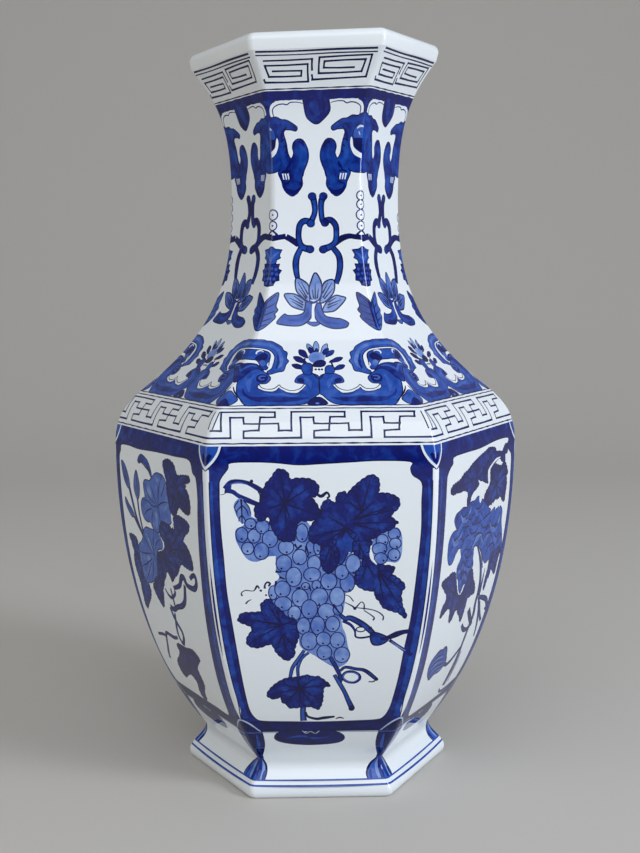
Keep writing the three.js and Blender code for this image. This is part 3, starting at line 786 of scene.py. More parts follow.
    art.stems([([(5.6, 92), (10, 93.4), (14, 95.4), (17, 99.6), (20, 100), (21.6, 97.4), (25, 96.6),
        (30, 97), (33, 100), (32.6, 103.6), (29.6, 103), (26.6, 101)], [2, 2.6, 3.4, 2.8, 3, 2.6, 2.2]),
        ([(19.4, 96.4), (18, 91.6), (15.6, 87), (11, 84), (6, 82.4), (1, 80), (-3, 80.4)],
        [2.4, 3, 3, 2.6, 3.2]), ([(-5, 89.4), (-2.6, 87), (1, 86), (5.6, 88.6), (7, 91)], [1.2, 2, 1.8]),
        ([(2, 91), (2.6, 86), (3.1, 81)], [1.6, 1.8]),
        ([(-3.6, 80), (-2, 76), (0.6, 72.4), (3.6, 69), (3.6, 65.4), (0.4, 61)], [2, 2.6, 2.4, 2.2, 2.6]),
        ([(0.6, 78), (-0.6, 73.4), (-2, 69), (-2, 64.6), (0.4, 61)], [1.6, 2.2, 2, 2]),
        ([(-4.4, 63.6), (-9, 62.4), (-13.6, 62.6), (-18, 62.6), (-20, 59.4), (-22, 54.6), (-24.6, 49.4),
        (-25.4, 46)], [1.8, 2.4, 2.2, 1.9, 2, 2.2]), ([(-19.4, 60.4), (-24, 60.4), (-30, 59)], [2, 1.6])],
        0.82, share=0.35)
    art.leaf([(-9, 58), (-6, 60), (-2, 60), (3, 60), (8.4, 61), (12.4, 60.6), (16, 57.6), (13.4, 55),
        (10, 52), (8.6, 49.4), (9.4, 41.6), (5, 35.6), (3, 30.4), (-1.6, 30), (-2, 34.6), (0, 38),
        (-1, 41.4), (-4.4, 43), (-9, 41), (-13, 38.6), (-16, 40), (-17, 44.4), (-15.4, 48), (-11, 51.4),
        (-8, 55)], [((-1, 50), (-14.6, 43), (-7, 56.6), (12, 58.4), (7.4, 43)), ((3, 42), (1, 32))], 0.92,
        0.86)
    return art.strokes


# The two other side panels: a tree peony with its knotted stem and a rolled leaf.
def peony_panel():
    art = framed([(-31, 157.4), (-32.5, 154.5), (-35.3, 153), (-38, 150.7), (-39.4, 147), (-39.7, 132),
        (-39.3, 110), (-38.3, 93), (-36.4, 75), (-33.6, 59.6), (-32, 49.6), (-30.3, 40.7), (-28.6, 33),
        (-27, 28.6)], plain_bar, [(25, 158.6), (12, 158), (0, 157.4), (-16, 157.6)],
        [(-23.6, 26.6), (-10, 26), (5, 26), (20, 26.6), (28.4, 29.6)])
    art.leaf([(-34.7, 142), (-32, 144.4), (-24.4, 145.6), (-18.6, 148), (-14, 149), (-9, 151), (-3, 152.6),
        (3, 154), (8.7, 155), (13, 156), (21, 155), (23, 153), (27, 152.6), (31, 152), (34, 154.4),
        (37.6, 155), (40, 156), (40.6, 154), (35.6, 150), (35.6, 146.6), (31, 147), (27.6, 149),
        (22.6, 148), (17.6, 146), (12, 145.6), (13, 141), (12.4, 139), (8, 140), (3.6, 141.4), (0, 139.6),
        (-5, 137.4), (-9, 134.4), (-12.4, 131.4), (-14, 134), (-13.4, 138), (-18, 140), (-25, 140.4),
        (-31.4, 140)],
        [((-8, 143), (-32, 142.4), (-18, 147), (-6, 151), (-12, 134)),
        ((10, 149), (-2, 141.4), (12, 154.6), (20, 153.6), (24, 149)), ((34, 150.6), (39, 154.6))], 0.88,
        0.83)
    art.leaf([(15.3, 145), (18.6, 147), (22, 147), (29.6, 145), (33, 146), (36.6, 145.4), (40.3, 140),
        (38.4, 139), (39.4, 135), (38.4, 130), (37.4, 126), (34, 127), (31, 129.4), (27.6, 128.6),
        (24, 129), (21, 127), (17, 127.4), (13, 126.4), (9.6, 128.4), (8, 132), (10.4, 135), (13.4, 136.6),
        (15.6, 139.4)],
        [((24, 136.6), (17, 144.6), (28, 144), (38, 141.4), (36.6, 129), (27, 130.4), (16, 129),
        (10.4, 131.6))], 0.9, 0.8)
    art.line([(13, 139.6), (13, 144.6), (18, 147.4), (23, 149), (28.6, 149.4)], [0.8, 1.6, 1, 1.2, 0.6], BARE)
    blossom = [([(-28, 127), (-26.4, 130), (-22, 131), (-18, 132), (-13, 131.4), (-9, 133), (-4, 133),
        (0, 134.4), (3.6, 133), (8.4, 131), (12, 129), (15.3, 126.4), (19, 124.4), (13, 122.6), (6, 120.6),
        (-3, 120), (-12, 120.6), (-22, 121.4)], 0.74),
        ([(-17, 121), (-8, 121.4), (0, 121), (8.7, 121.3), (18.7, 123.4), (24, 125), (27, 123.6),
        (31, 124.6), (35.6, 122), (36, 116.3), (38.4, 110.6), (41, 104), (42.4, 99.4), (34, 100),
        (26, 98.6), (20, 97.4), (15, 101), (10.6, 105.6), (6, 108.6), (1, 109.4), (-4, 104), (-9, 98.6),
        (-15, 98), (-18.6, 103), (-15, 107.4), (-17, 112)], 0.68),
        ([(-33, 114.6), (-32.6, 119), (-29, 122), (-24, 122.6), (-18, 123), (-14.6, 120), (-14.6, 115),
        (-17.6, 112.6), (-21.4, 113), (-23, 110), (-25.6, 107), (-29.4, 107), (-32, 110)], 0.7),
        ([(-18.4, 103.4), (-16, 106), (-14, 109.4), (-10, 110.6), (-6, 109.4), (-2, 110.4), (1, 108),
        (1.4, 103.6), (3, 100), (0.4, 97), (-2, 93), (-6, 92), (-8.6, 88.4), (-12, 91.4), (-14.4, 96),
        (-17.4, 99)], 0.74)]
    for outline, tone in blossom:
        art.shape(outline, tone, 0.6, 0.95)
    petals = [[(-24, 121.6), (-20, 125.4), (-13, 126), (-7, 124), (-4, 121)],
        [(-10, 121.6), (-6, 125.6), (1, 126.6), (7, 124.6), (9, 121.6)],
        [(-20.6, 130.6), (-17, 127.4), (-11, 128.6), (-8, 132.6)],
        [(-4, 132.4), (-1, 128.4), (5, 128.6), (8.4, 131)],
        [(-31.6, 112), (-27, 115.6), (-22, 114.6), (-18.6, 117.4), (-15.4, 116)],
        [(-29, 121.4), (-26, 118), (-21, 119), (-17, 122)],
        [(-16.4, 112.4), (-12, 116.6), (-6, 116.6), (-2.4, 112.4)],
        [(-9, 120.6), (-4.6, 117), (2, 117.6), (5, 121)], [(-2, 111), (3, 115), (9.4, 114.6), (12, 110.4)],
        [(6, 120.4), (11, 117), (18, 118), (20, 122.6)],
        [(11, 108), (15, 112.6), (22, 112.6), (25.4, 108.4)],
        [(19, 120), (23.6, 115.6), (30, 116.6), (33, 121.6)],
        [(18, 100), (21, 105.4), (28, 106), (31.4, 101.4)],
        [(26.6, 112), (31, 108.6), (36, 110), (38, 107)], [(-16.4, 101.4), (-11.4, 104.4), (-7, 101.4)],
        [(-11, 108.6), (-6.4, 105.4), (-1, 107)], [(-12.4, 95.6), (-7.4, 98.6), (-3, 95.4)],
        [(-6, 102), (-1.6, 99.6), (2, 102)]]
    for k, points in enumerate(petals):
        points = np.array(points)
        art.line(points + [0.3, -1.9], [0.8, 3.4, 0.8], 0.58 + 0.12 * math.sin(2.2 * k))
        art.line(points, [0.5, 1, 0.5], 0.96)
        middle, root = points[len(points) // 2], points.mean(0) + [0.6, -4.4]
        for lean in (-3, -1.2, 0.8, 2.6):
            art.line([middle + [lean, -0.8 - 0.1 * lean * lean], root + [0.3 * lean, 0]], [0.8, 0.3], 0.88)
    gaps = [[(-9, 134.6), (-6.4, 137), (-2.6, 138), (0.6, 138), (-1, 135), (-4.6, 134.4)],
        [(2, 134.6), (4, 135.4), (5.6, 133), (4, 130.6), (2.4, 131.6)],
        [(-0.6, 142), (3, 141), (8.4, 138), (7.4, 135), (4, 138)],
        [(1, 107.4), (5, 108), (7.6, 105), (9.6, 101.4), (8.4, 100), (5.4, 103.4)],
        [(19.6, 127), (20.4, 124.4), (22, 127.8)], [(24.6, 127), (25.6, 123.4), (27, 126.8)],
        [(29.4, 128.4), (30.6, 124), (32.8, 126)]]
    for patch in gaps:
        art.fill(patch, BARE)
    art.leaf([(24, 88), (25.4, 93), (25.6, 98.6), (28, 101), (33, 101.6), (38, 102.6), (42, 99), (40, 98),
        (38.6, 94), (38, 88.4), (35.6, 88.6), (32.6, 91), (29.4, 91), (26.6, 82.6), (24.4, 83)],
        [((29, 97.6), (40, 99.6), (37, 90.6), (26.6, 85))], 0.86, 0.8)
    art.stems([
        ([(5.6, 108.6), (10.4, 103.4), (14.4, 97), (17.4, 89.6), (18.4, 82)], [0.8, 2.2, 2.6, 3, 3.2]),
        ([(10.6, 106.6), (14, 101.6), (17.4, 95.4)], [0.6, 1.2, 1]),
        ([(21.4, 94.6), (20.8, 88), (20.4, 80)], [0.6, 2.4, 2.8])], 0.78, share=0.3)
    art.leaf([(-35.4, 99.4), (-32, 100.6), (-28, 101), (-24.4, 102), (-19.6, 101), (-17.6, 97.6),
        (-14.4, 92.6), (-11.4, 88.6), (-8.6, 87.4), (-6, 88.4), (-4, 92), (-1.4, 96.4), (2, 98.4),
        (4.6, 96), (7, 92), (10.4, 88.6), (12.4, 84), (9, 83.4), (5.4, 84.4), (3.6, 82), (3.4, 78),
        (2, 71.6), (-0.6, 72.4), (-3, 75.4), (-6, 77.4), (-8.4, 80), (-10.6, 79), (-12.4, 76), (-15, 75),
        (-17, 77.6), (-18, 82), (-21.4, 83.6), (-28.4, 81), (-30, 82.6), (-29, 86.6), (-26.6, 88.4),
        (-26.6, 91.4), (-29.4, 94.4), (-32.6, 96.4)],
        [((-16, 90), (-33.4, 98.6), (-22, 100.4), (-28.4, 84), (-14.6, 77)),
        ((-2, 86), (1.4, 96.4), (10.6, 85.4), (1, 73.4), (-8, 81.4)), ((-9.6, 86), (-3, 84.6))], 0.88, 0.82)
    art.stems([([(18.6, 84), (17.6, 77), (19, 70), (17, 64), (15.6, 56), (15, 47), (13.4, 39), (11.6, 32)],
        [3.4, 3, 3.6, 3, 3, 4.4, 5, 4.6]),
        ([(20.4, 80), (24, 74), (27, 68), (29.4, 62), (31, 55)], [2.4, 2.2, 2.6, 1.8]),
        ([(24, 76), (27, 71), (31, 66), (34.4, 63)], [1.8, 2.2, 2]),
        ([(22, 79), (27.6, 77.4), (34, 74.6), (38.6, 69), (43, 65.6)], [2.4, 3, 3, 2.6]),
        ([(34.6, 70), (38.6, 67.6), (41, 63)], [1.6, 1.8]),
        ([(9.6, 75.6), (13, 71.6), (17, 67.4), (20.4, 64.4)], [3.4, 3.4, 2.6]),
        ([(5, 68.6), (8.6, 65.4), (13, 63.6), (18.6, 64.4)], [2.2, 2.8, 2.2]),
        ([(15.4, 54), (11, 51.4), (5.6, 48.6), (0.4, 48), (-4.4, 50)], [2, 2.8, 2.6, 2]),
        ([(7, 31.6), (10.4, 28.6), (17.4, 28), (24.4, 29), (33.6, 31.6)], [1.2, 2.4, 2.2, 0.8]),
        ([(18.4, 50), (18, 44), (17, 38), (16.4, 33)], [1, 1.6, 1])], 0.82, share=0.35)
    art.shape([(-26, 54.4), (-24.6, 58), (-18, 61), (-13.6, 60.4), (-10, 61), (-6.6, 58.6), (-4.4, 54.6),
        (-2, 50.6), (-4.4, 47.6), (-9, 46.6), (-13.4, 47), (-18, 45.6), (-21.4, 47.6), (-24, 50.4)], 0.72,
        0.9)
    folds = [[(-24, 56), (-17, 57.6), (-9.6, 57)], [(-23.6, 53), (-16, 54.8), (-7, 53.6)],
        [(-22, 50), (-15, 51.8), (-6, 50.8)], [(-19, 47.4), (-12, 49.2), (-4.6, 49)]]
    for points in folds:
        art.line(points, [0.6, 1.4, 0.6], 0.94)
        art.line(np.array(points) + [0, -1.3], [0.3, 0.9, 0.3], 0.5)
    return art.strokes


panels = [panel() for panel in (grape_panel, peony_panel, bindweed_panel)]
belly_sheets = [sheet(wall, WAIST_MARK, SEAM, strokes, spacing=4) for strokes in panels]
for k, side in enumerate(SIDES):
    slab = mesh_object(f"belly_{side}", slab_parts(wall, belly_sheets[k % 3], k), [painted, white])
    stands_for(slab, f"belly_slab_{side}")


# The neck slabs: six upper wall slabs, from the shoulder's bend up the neck to the flared mouth,
# luted to each other and to the belly slabs. Each face has the same painting, mirrored about its
# middle but for the knot, the lotus and the keys, and every second one is painted more darkly.
# Points up the face are measured from the joint with the belly slabs.
def key_fret(art):
    """The band of interlocked key fret between its ruled lines."""
    for row in (1.1, 18.2, 19.8):
        art.band(row - 0.3, row + 0.3, 0.96, 0.12)
    unit = [(-14, 10.1), (-5.8, 10.2), (-5.6, 6.8), (0, 6.8), (0, 16.2), (23.4, 16.1), (23.4, 13.4),
        (17, 13.4), (16.7, 10.1), (16.4, 7), (9.9, 6.6), (9.9, 3.6), (34.8, 3.6), (34.5, 13.3),
        (40.3, 13.3), (40.6, 10.2), (47.4, 10.1)]
    for start in (-74.05, -43.4, -12.75, 17.9):
        art.ruled([(start + x, s) for x, s in unit], 0.95, 0.96)
    for art.side in (-1, 1):
        art.line([(44.1, 16.4), (47.2, 7.4)], [0.5, 0.6])


def shoulder_scrolls(art):
    """One half of a face's scrolls: the tail's arch, the arm and the long body."""
    tail = [(22.5, 38), (18.5, 39.3), (16, 40), (15, 43.3), (13.7, 45.4), (14.7, 47), (14.3, 50),
        (16, 51.4), (17, 53.4), (21, 56), (23.4, 56.4), (25.3, 57), (31, 57), (35, 56.4), (35, 51.6),
        (31, 53), (25.5, 52.5), (22.6, 51.6), (20.6, 49.6), (20, 47), (21.3, 41.6), (23.4, 39.6)]
    art.shape(tail, 0.66, 0.5, 0.95)
    art.line([(20, 40.6), (17.4, 43), (17, 47), (18.4, 51.4), (22, 54), (27, 55), (32, 55)],
        [0.5, 1.8, 1.5, 1.9, 0.8], 0.5)
    art.line([(19.4, 41), (18.4, 45), (18.8, 49.4)], [0.6, 1.4, 0.5], 0.82)
    heart = [(22, 49), (24, 51), (30, 52), (36, 51.4), (36, 47.4), (31, 46.4), (28.4, 46), (27, 44),
        (26.4, 42), (25.4, 41), (24, 40.6), (23, 42), (22.5, 45)]
    art.shape(heart, 0.72)
    art.fill([(23, 48.6), (25, 50), (28, 48.4), (29, 46.6), (26.4, 45.6), (24, 46.4)], 0.95)
    art.fill([(24.6, 45.6), (26, 46), (27, 44.4), (25.6, 42.6), (24, 43.6)], 0.55)
    art.line([(25, 50.6), (26.4, 51.3), (28, 50.6), (28.4, 49.4)], [0.3, 0.8, 0.6], 0.04)
    art.line([(22.6, 42), (23.2, 43.4), (22.8, 44.6)], [0.3, 0.7, 0.3], 0.04)
    arm = [(25, 40), (28, 43.7), (33, 44.3), (36.5, 42.5), (39.5, 40), (42, 36), (40, 33.4), (37, 34),
        (34.5, 36), (33, 38), (29, 41), (27, 41)]
    art.shape(arm, 0.82)
    art.line([(28, 42.6), (31, 43), (34.5, 41), (38, 37.6)], [0.4, 1.1, 0.9, 0.3], 0.62)
    body = [(0, 27.5), (1.5, 25.5), (3.5, 23), (6, 21), (9, 20.3), (15, 20), (21, 20), (27, 20), (33, 20),
        (36, 25), (37, 28), (37, 31.4), (36.4, 34.5), (34.6, 36), (31, 40), (27, 41), (22, 36.5),
        (23.5, 33), (27, 32.4), (27.5, 30), (24, 28.3), (21, 28), (19, 29), (18, 30.4), (15, 27.7),
        (10.5, 27), (8.5, 28.4), (6.3, 32), (10, 33), (11, 34), (9.5, 37), (5, 39), (2.5, 38.3), (0, 36)]
    art.shape(body, 0.7, 0.5, 0.95)
    art.line([(5, 24.6), (9, 23.6), (15, 23.4), (21, 23.6), (28, 23.6), (33, 26), (34.4, 30)],
        [0.5, 2.2, 3.2, 3.4, 3, 1.5, 0.5], 0.83)
    art.line([(4, 30), (4.6, 34), (7, 36.2)], [0.5, 2.4, 0.6], 0.6)
    art.line([(31.4, 28), (31.6, 33), (29.4, 37.6)], [0.5, 2.6, 0.6], 0.6)
    art.line([(9, 26), (13, 25.4), (17, 26.6), (21, 26.4), (25, 27)], [0.4, 1, 1.2, 1, 0.4], 0.6)
    art.fill([(23, 36.6), (24.4, 38), (27, 38), (28.4, 36.4), (28, 34), (26, 33.3), (24, 34)], 0.9)
    art.line([(24.6, 35.4), (26, 35), (27, 36), (26, 37), (24, 37)], [0.6, 0.9, 0.6], 0.6)
    art.fill([(7, 33), (9.6, 33.6), (10, 35), (9, 36), (7, 35)], 0.9)
    hem = [(6.5, 32), (9, 29), (13, 28), (17, 30), (18, 31.4), (19.4, 30), (21, 29), (24, 29), (26, 30),
        (27, 31.6)]
    art.line(hem, [0.9, 1.1, 1.0, 1.1, 0.8], BARE)
    art.line(np.add(hem, [0, 0.6]), [0.5, 0.4, 0.5, 0.4])
    art.line([(38.5, 31), (38, 28.6), (36.7, 25.6), (34, 22)], [0.5, 0.9, 0.6, 0.4])
    art.shape([(36.4, 23.6), (38, 26.4), (39.4, 28.6), (41.4, 28), (44, 25.4), (47, 22), (47, 20.3),
        (40.6, 20.3), (38, 21.4)], 0.66, 0.5)
    art.fill([(40.4, 20.6), (42.4, 25), (46, 22), (46, 20.4)], 0.9)


def shoulder_flower(art):
    """The spiky flower in the middle of the shoulder, and what it grows from."""
    petals = [((-1, 48), (-1.2, 56.2), 2.6, 0.34), ((-2.2, 49), (-5.2, 54.8), 2.3, 0.38),
        ((1, 49), (3.9, 54.8), 2.3, 0.38), ((-2.4, 48), (-4.2, 53), 2.2, 0.9),
        ((1.4, 48), (4.4, 52.4), 2.2, 0.9), ((-0.8, 47.5), (-1, 52.4), 1.6, 0.85),
        ((-5, 47), (-8.9, 51.6), 3, 0.9), ((-5.4, 44.2), (-11.5, 47.8), 2.8, 0.92),
        ((-6, 41), (-12.3, 43.4), 2.6, 0.92), ((3, 47.6), (7, 51.2), 2.2, 0.85),
        ((4.6, 44.6), (10.9, 47.2), 2.3, 0.88), ((6.4, 40.4), (11.7, 43), 2.5, 0.85)]
    for a, b, width, tone in petals:
        a, b = np.array(a), np.array(b)
        along, aside = b - a, np.array([a[1] - b[1], b[0] - a[0]]) / np.hypot(*(b - a)) * width / 2
        near, far = a + 0.35 * along, a + 0.7 * along
        art.shape([a, near + 0.8 * aside, far + aside, b, far - aside, near - 0.8 * aside], tone, 0.35)
    art.oval(-1, 47.2, 3.8, 3.2, 0.42)
    art.line([(-6.4, 47), (-6.6, 44), (-6.2, 41.4)], [0.8, 1.1, 0.8], 0.95)
    art.line([(5.4, 46), (5.8, 44), (6.6, 41.6)], [0.6, 0.9, 0.6], 0.95)
    art.shape([(-8, 41.4), (-7.4, 43.4), (-5, 44.4), (-3, 43), (-3.6, 38), (-6.6, 38)], 0.72, 0.5)
    art.shape([(2.6, 39.4), (3, 42), (4.6, 43), (6.6, 42), (7, 40), (6, 38.4), (3.4, 38.4)], 0.7, 0.5)
    art.shape([(-3, 42.6), (-1.6, 45), (1, 46), (3, 45), (2.7, 43), (0.6, 42)], 0.95, 0.3)
    art.patch([(-2.7, 39), (-2.5, 41.6), (2.3, 41.6), (2.5, 38.7), (0, 38.4)], BARE)
    for x in (-1.5, 0, 1.3):
        art.dot(x, 40.7, 0.6)
    art.line([(-2.4, 38), (0, 35), (2, 38)], [0.6, 0.4, 0.6])
    art.line([(-0.2, 34.8), (0, 31), (0, 27.5)], [0.5, 0.5, 0.6])
    art.shape([(-5, 20.3), (-5, 22), (-3.4, 24), (0, 24.7), (3, 22), (2.6, 20.3)], 0.9, 0.4)
    art.oval(-1.2, 21, 0.9, 0.6, 0.5)


def knot(art, bold):
    """The knotted cord down the middle of the neck."""
    cords = [([(-14.5, 107), (-21, 106), (-26, 106)], [2.4, 2.3, 2.8, 2.8], 0.94, 0.4),
        ([(-8.6, 103), (-11.6, 105.2), (-14.4, 106.8)], [2.6, 2.8, 2.6], 0.88, 0.5),
        ([(8, 103.4), (11.6, 106), (15, 107), (18.4, 106.6), (26, 106)], [2.6, 2.8, 2.2, 2.4, 2.8], 0.94,
        0.4), ([(-2, 125), (-1.3, 122.6), (-1, 118), (-3, 113)], [3.2, 2.8, 2.6, 2.6, 3], 0.76, 0.5),
        ([(3, 125), (2, 122.6), (2, 118), (2.5, 114.6), (3.6, 113.3)], [3.2, 2.8, 2.6, 2.6, 3], 0.76, 0.5),
        ([(-3, 113.6), (-6, 114), (-8, 112), (-8.6, 108.4), (-8.4, 105), (-7.4, 102.6), (-5.6, 101.4),
        (-3.4, 101)], [2.9, 2.9, 2.7, 2.9, 3.4], 0.74, 0.55),
        ([(3.4, 114), (6.4, 114.4), (8.6, 112), (9, 108.4), (8.6, 104.6), (6.4, 102.3), (3, 101)],
        [2.9, 2.9, 2.7, 2.9, 3.4], 0.72, 0.55),
        ([(-7.6, 101.4), (-9.4, 97.6), (-10, 94), (-9.7, 90), (-9, 86.6)], [2.6, 2.9, 3.2, 2.8, 2.2], 0.74,
        0.55),
        ([(7.4, 101.6), (10, 98), (10.6, 93.6), (10, 89), (8.6, 84.6)], [2.6, 2.9, 3, 2.8, 2.4], 0.74,
        0.55)]
    for points, widths, tone, share in cords:
        art.stem(points, [(1.25 if bold else 1.05) * w for w in widths], 0.86 if bold else tone, 0.96, share)
    for x, s in ((-2.2, 125.3), (3, 125.3), (-2.9, 112.9), (3.7, 113.2), (-3.3, 100.9), (2.8, 100.8)):
        art.oval(x, s, 1.8, 1.7, 0.82, 0.5, 0.97)


def lotus(art, bold):
    """The lotus under the knot, on its ribbon."""
    petals = [([(-15.4, 79.7), (-11.6, 80), (-9, 79), (-5.4, 76), (-5.4, 72.6), (-7, 72), (-11.6, 73.6),
        (-14, 76.3)], [((-13, 78), (-6.6, 74.4)), ((-12, 76.4), (-7, 73.2)), ((-11, 79), (-6.8, 75.6))]),
        ([(13, 77.4), (10.7, 78.7), (8, 79), (4.6, 76.3), (3, 74), (2.3, 71.3), (5, 71), (8.4, 72)],
        [((11, 77), (4.6, 74.4)), ((9.4, 75.2), (4.4, 73)), ((8.6, 78), (5, 75.8))]),
        ([(-10, 87.3), (-6.6, 86.3), (-4, 83.6), (-3.7, 79), (-4, 76), (-8, 79), (-10, 82)],
        [((-9, 85.4), (-4.8, 78)), ((-7.6, 85.6), (-4.4, 79.6)), ((-8.8, 82.4), (-5.2, 77.4))]),
        ([(7.4, 86.6), (4, 86), (2.3, 83.6), (1.7, 79), (1, 75.6), (3.4, 76), (7, 79.7), (8, 83.6)],
        [((6.6, 85), (2.4, 78)), ((4.8, 85), (2.2, 80)), ((7.2, 82.4), (3, 77.4))]),
        ([(-1, 90), (-3, 86), (-4, 81.6), (-3, 77.4), (-1, 76), (1, 77.6), (2, 81.4), (1.6, 86)],
        [((-1.1, 85), (-1.1, 77)), ((-2.4, 82), (-1.9, 77.6)), ((0.4, 82.4), (-0.2, 77.6))])]
    for outline, veins in petals:
        art.shape(outline, 0.5 if bold else 0.36, 0.7, 0.93)
        for a, b in veins:
            art.line([a, b], [0.3, 1.1 if bold else 0.8], 0.93)
    left = [(-5.4, 76), (-6, 72.4), (-7, 70.4), (-10, 69.4), (-14, 69.4), (-15.6, 70), (-19, 66),
        (-17, 64.7), (-9.3, 64), (-5, 66), (-2.6, 69.6), (-2.5, 74.6)]
    right = [(-0.6, 75), (1.4, 75), (2, 72), (3.6, 69), (7.6, 68), (10.4, 67.6), (13.6, 66), (14, 64.6),
        (12.4, 63), (7.3, 62.6), (3, 64), (-0.4, 66.6), (-1.6, 70)]
    art.shape([(-6, 66.4), (-2.6, 64), (0, 64.4), (1.4, 66), (-2.6, 66)], 0.6, 0.4)
    art.shape(left, 0.8 if bold else 0.62, 0.6, 0.95)
    art.shape(right, 0.8 if bold else 0.62, 0.6, 0.95)
    art.line([(-4.6, 73), (-5, 69.6), (-8, 67), (-14, 67)], [0.8, 1.8, 1.4, 0.4], 0.72)
    art.line([(-0.4, 72.6), (0.6, 69.4), (3.6, 66), (10, 65)], [0.6, 1.6, 1.6, 0.5], 0.72)
    art.line([(-4.2, 76.4), (-2.4, 75.8), (-0.2, 76.2)], [1.2, 1.6, 1.2], 0.8)
    art.line([(-2.2, 74.8), (-2.2, 68)], [0.9, 1.4], BARE)
    art.line([(-3.4, 77), (-2, 76.5), (-0.8, 77)], [0.3, 0.6, 0.3], 0.04)


def corner_sprigs(art, beads):
    """What is painted over the corner: the beads, a bud, berries and a pair of leaves."""
    for row, radius in ((125.6, 2.1), (121.6, 2.1), (116.8, 2.4), (111.8, 2.1))[-beads:]:
        art.oval(0, row, radius, radius, BARE, 0.6, 0.85)
        art.dot(0, row, 0.5, 0.8)
    art.line([(-2.4, 107.4), (-1.4, 108.6), (0, 109.6)], [1.4, 0.8, 1], 0.9)
    bud = [(2, 102.4), (-0.6, 102), (-2, 101), (-5, 100.6), (-4, 98.4), (-4.6, 97), (-3, 96), (-2.6, 94.4),
        (-0.6, 93.4), (2, 93.4)]
    art.patch(bud, 0.74)
    art.ruled([*bud, bud[0]], 0.5)
    art.line([(-3.8, 99.8), (-1.6, 98), (0.6, 95)], [0.4, 1.4, 0.8], 0.56)
    berries = [(2, 94), (-2.4, 94), (-4.4, 94), (-4, 92), (-5.6, 91), (-4.6, 89), (-5, 86.4), (-3.4, 86),
        (-2.6, 84), (2, 83)]
    art.patch(berries, 0.86)
    art.ruled([*berries, berries[0]], 0.5)
    for x, s in ((-3, 91.6), (-1, 92), (-3.6, 89.2), (-1.4, 89.6), (-2.6, 87), (-0.6, 87.2), (-1.2, 85)):
        art.dot(x, s, 0.75, 0.66)
    leaf = [(-5.4, 80.6), (-1, 77), (0, 74), (0.5, 68), (0.4, 62), (-2.6, 63), (-6.6, 68), (-6, 70),
        (-7, 72), (-5.7, 74), (-6, 77.6)]
    art.shape(leaf, 0.76 if art.side > 0 else 0.6, 0.6)
    art.lines([((-1, 75.6), (-4.8, 79.4)), ((-1, 72.6), (-5.2, 75.4)), ((-1, 69.4), (-5.8, 71.6)),
        ((-1, 66.4), (-5.4, 68)), ((-1, 64), (-3.6, 65))], [0.8, 0.35], 0.96)
    art.line([(-1.2, 76), (-0.9, 70), (-0.8, 63)], [0.8, 1.2, 0.6], 0.9)


def mouth_dragon(art, faced):
    """One half of a face's share of the dragons that hang from the band under the mouth."""
    body = [(6.7, 156), (7.4, 157.4), (11.4, 160), (14, 160.4), (16.4, 161.6), (19, 161.4), (22, 162.6),
        (30, 163), (30, 136.4), (24, 136.3), (19, 136), (16, 136.7), (14.6, 138), (15.6, 136), (14, 132),
        (13.4, 129.4), (11.4, 126.6), (8.4, 125.6), (4.6, 130), (4.5, 134.6), (2, 141), (1.6, 144.6),
        (2.4, 148), (4.3, 151), (6.6, 151.4), (8.4, 150), (9, 147.7), (8.5, 145), (9.6, 142.6), (11, 145),
        (11.7, 149.3), (13, 155), (10, 155.6), (7.6, 155)]
    art.fill(body, 0.8)
    washes = [([(9, 157.4), (12.6, 159), (17, 159.4), (21, 160)], [1, 1.8, 2, 1.4], 0.76),
        ([(5.4, 149), (4, 145.4), (4.4, 140.6), (6, 135.6), (7.4, 131)], [2, 3, 3.4, 4.6, 2.4], 0.76),
        ([(14, 155), (13.4, 149), (13.4, 143.4), (11, 138.6)], [1.4, 2, 2.4, 1.6], 0.75),
        ([(14.4, 141), (17, 139), (21, 138.4), (25, 138.4)], [1, 2.2, 2.6, 2.6], 0.76),
        ([(3.4, 147.6), (4.8, 150), (6.6, 150)], [0.6, 1.4, 0.6], 0.88),
        ([(11.8, 157), (13.6, 154), (14, 150)], [0.6, 1.6, 0.8], 0.88),
        ([(9.8, 141.4), (10.6, 139.4), (12, 137.6)], [0.6, 1.6, 0.8], 0.88)]
    for points, widths, tone in washes:
        art.line(points, widths, tone)
    art.edge(body, 0.5, 0.96)
    art.line([(5.4, 129.4), (8, 127), (12, 128.4), (13, 131)], [0.6, 2.4, 2, 0.6], 0.9)
    if faced:
        crescent = [(16, 152), (15.4, 149.6), (16, 146.4), (17.4, 144), (20, 142.6), (22.6, 142.6),
            (23, 145.6), (21, 144.6), (19, 145.6), (17, 147.6), (16.6, 150.4)]
        art.fill(crescent, BARE)
        art.shape(
            [(17, 151.4), (17, 154.4), (18.6, 157), (21.6, 157.4), (24.4, 156.6), (25, 151.6), (21, 150)],
            0.66, 0.4)
        art.fill([(17, 151), (17, 148), (19, 146), (21.4, 145), (23.4, 146.6), (24.6, 150), (20.6, 151.4)],
            0.96)
        art.line([(18.6, 155.6), (20, 156.6), (21.8, 156.4)], [0.4, 1.1, 0.5], 0.12)
        art.line([(19.4, 154.2), (20, 152.6)], [0.5, 0.4], 0.2)
    else:
        art.line([(17, 154), (19, 150), (19, 146)], [1, 2, 1], 0.76)
        art.line([(16.4, 152.4), (17, 147.6), (19.4, 144.4)], [0.3, 0.7, 0.3], 0.97)
    for step in (0, 1.2, 2.4):
        art.line([(10.6 + step, 133), (11.2 + step, 135.8)], [0.5, 0.7], 0.04)
    art.line([(9.8, 134.8), (10.8, 131.8), (13, 131.2)], [0.5, 0.7, 0.5], 0.97)
    art.line([(9.8, 136.6), (12, 137.2), (14.2, 136.4)], [0.5, 0.8, 0.5], 0.97)
    art.lines([((12.6, 151.4), (13.8, 150.6)), ((12, 148.6), (13.2, 147.8)), ((11.6, 146), (12.6, 145))],
        [0.7, 0.3])


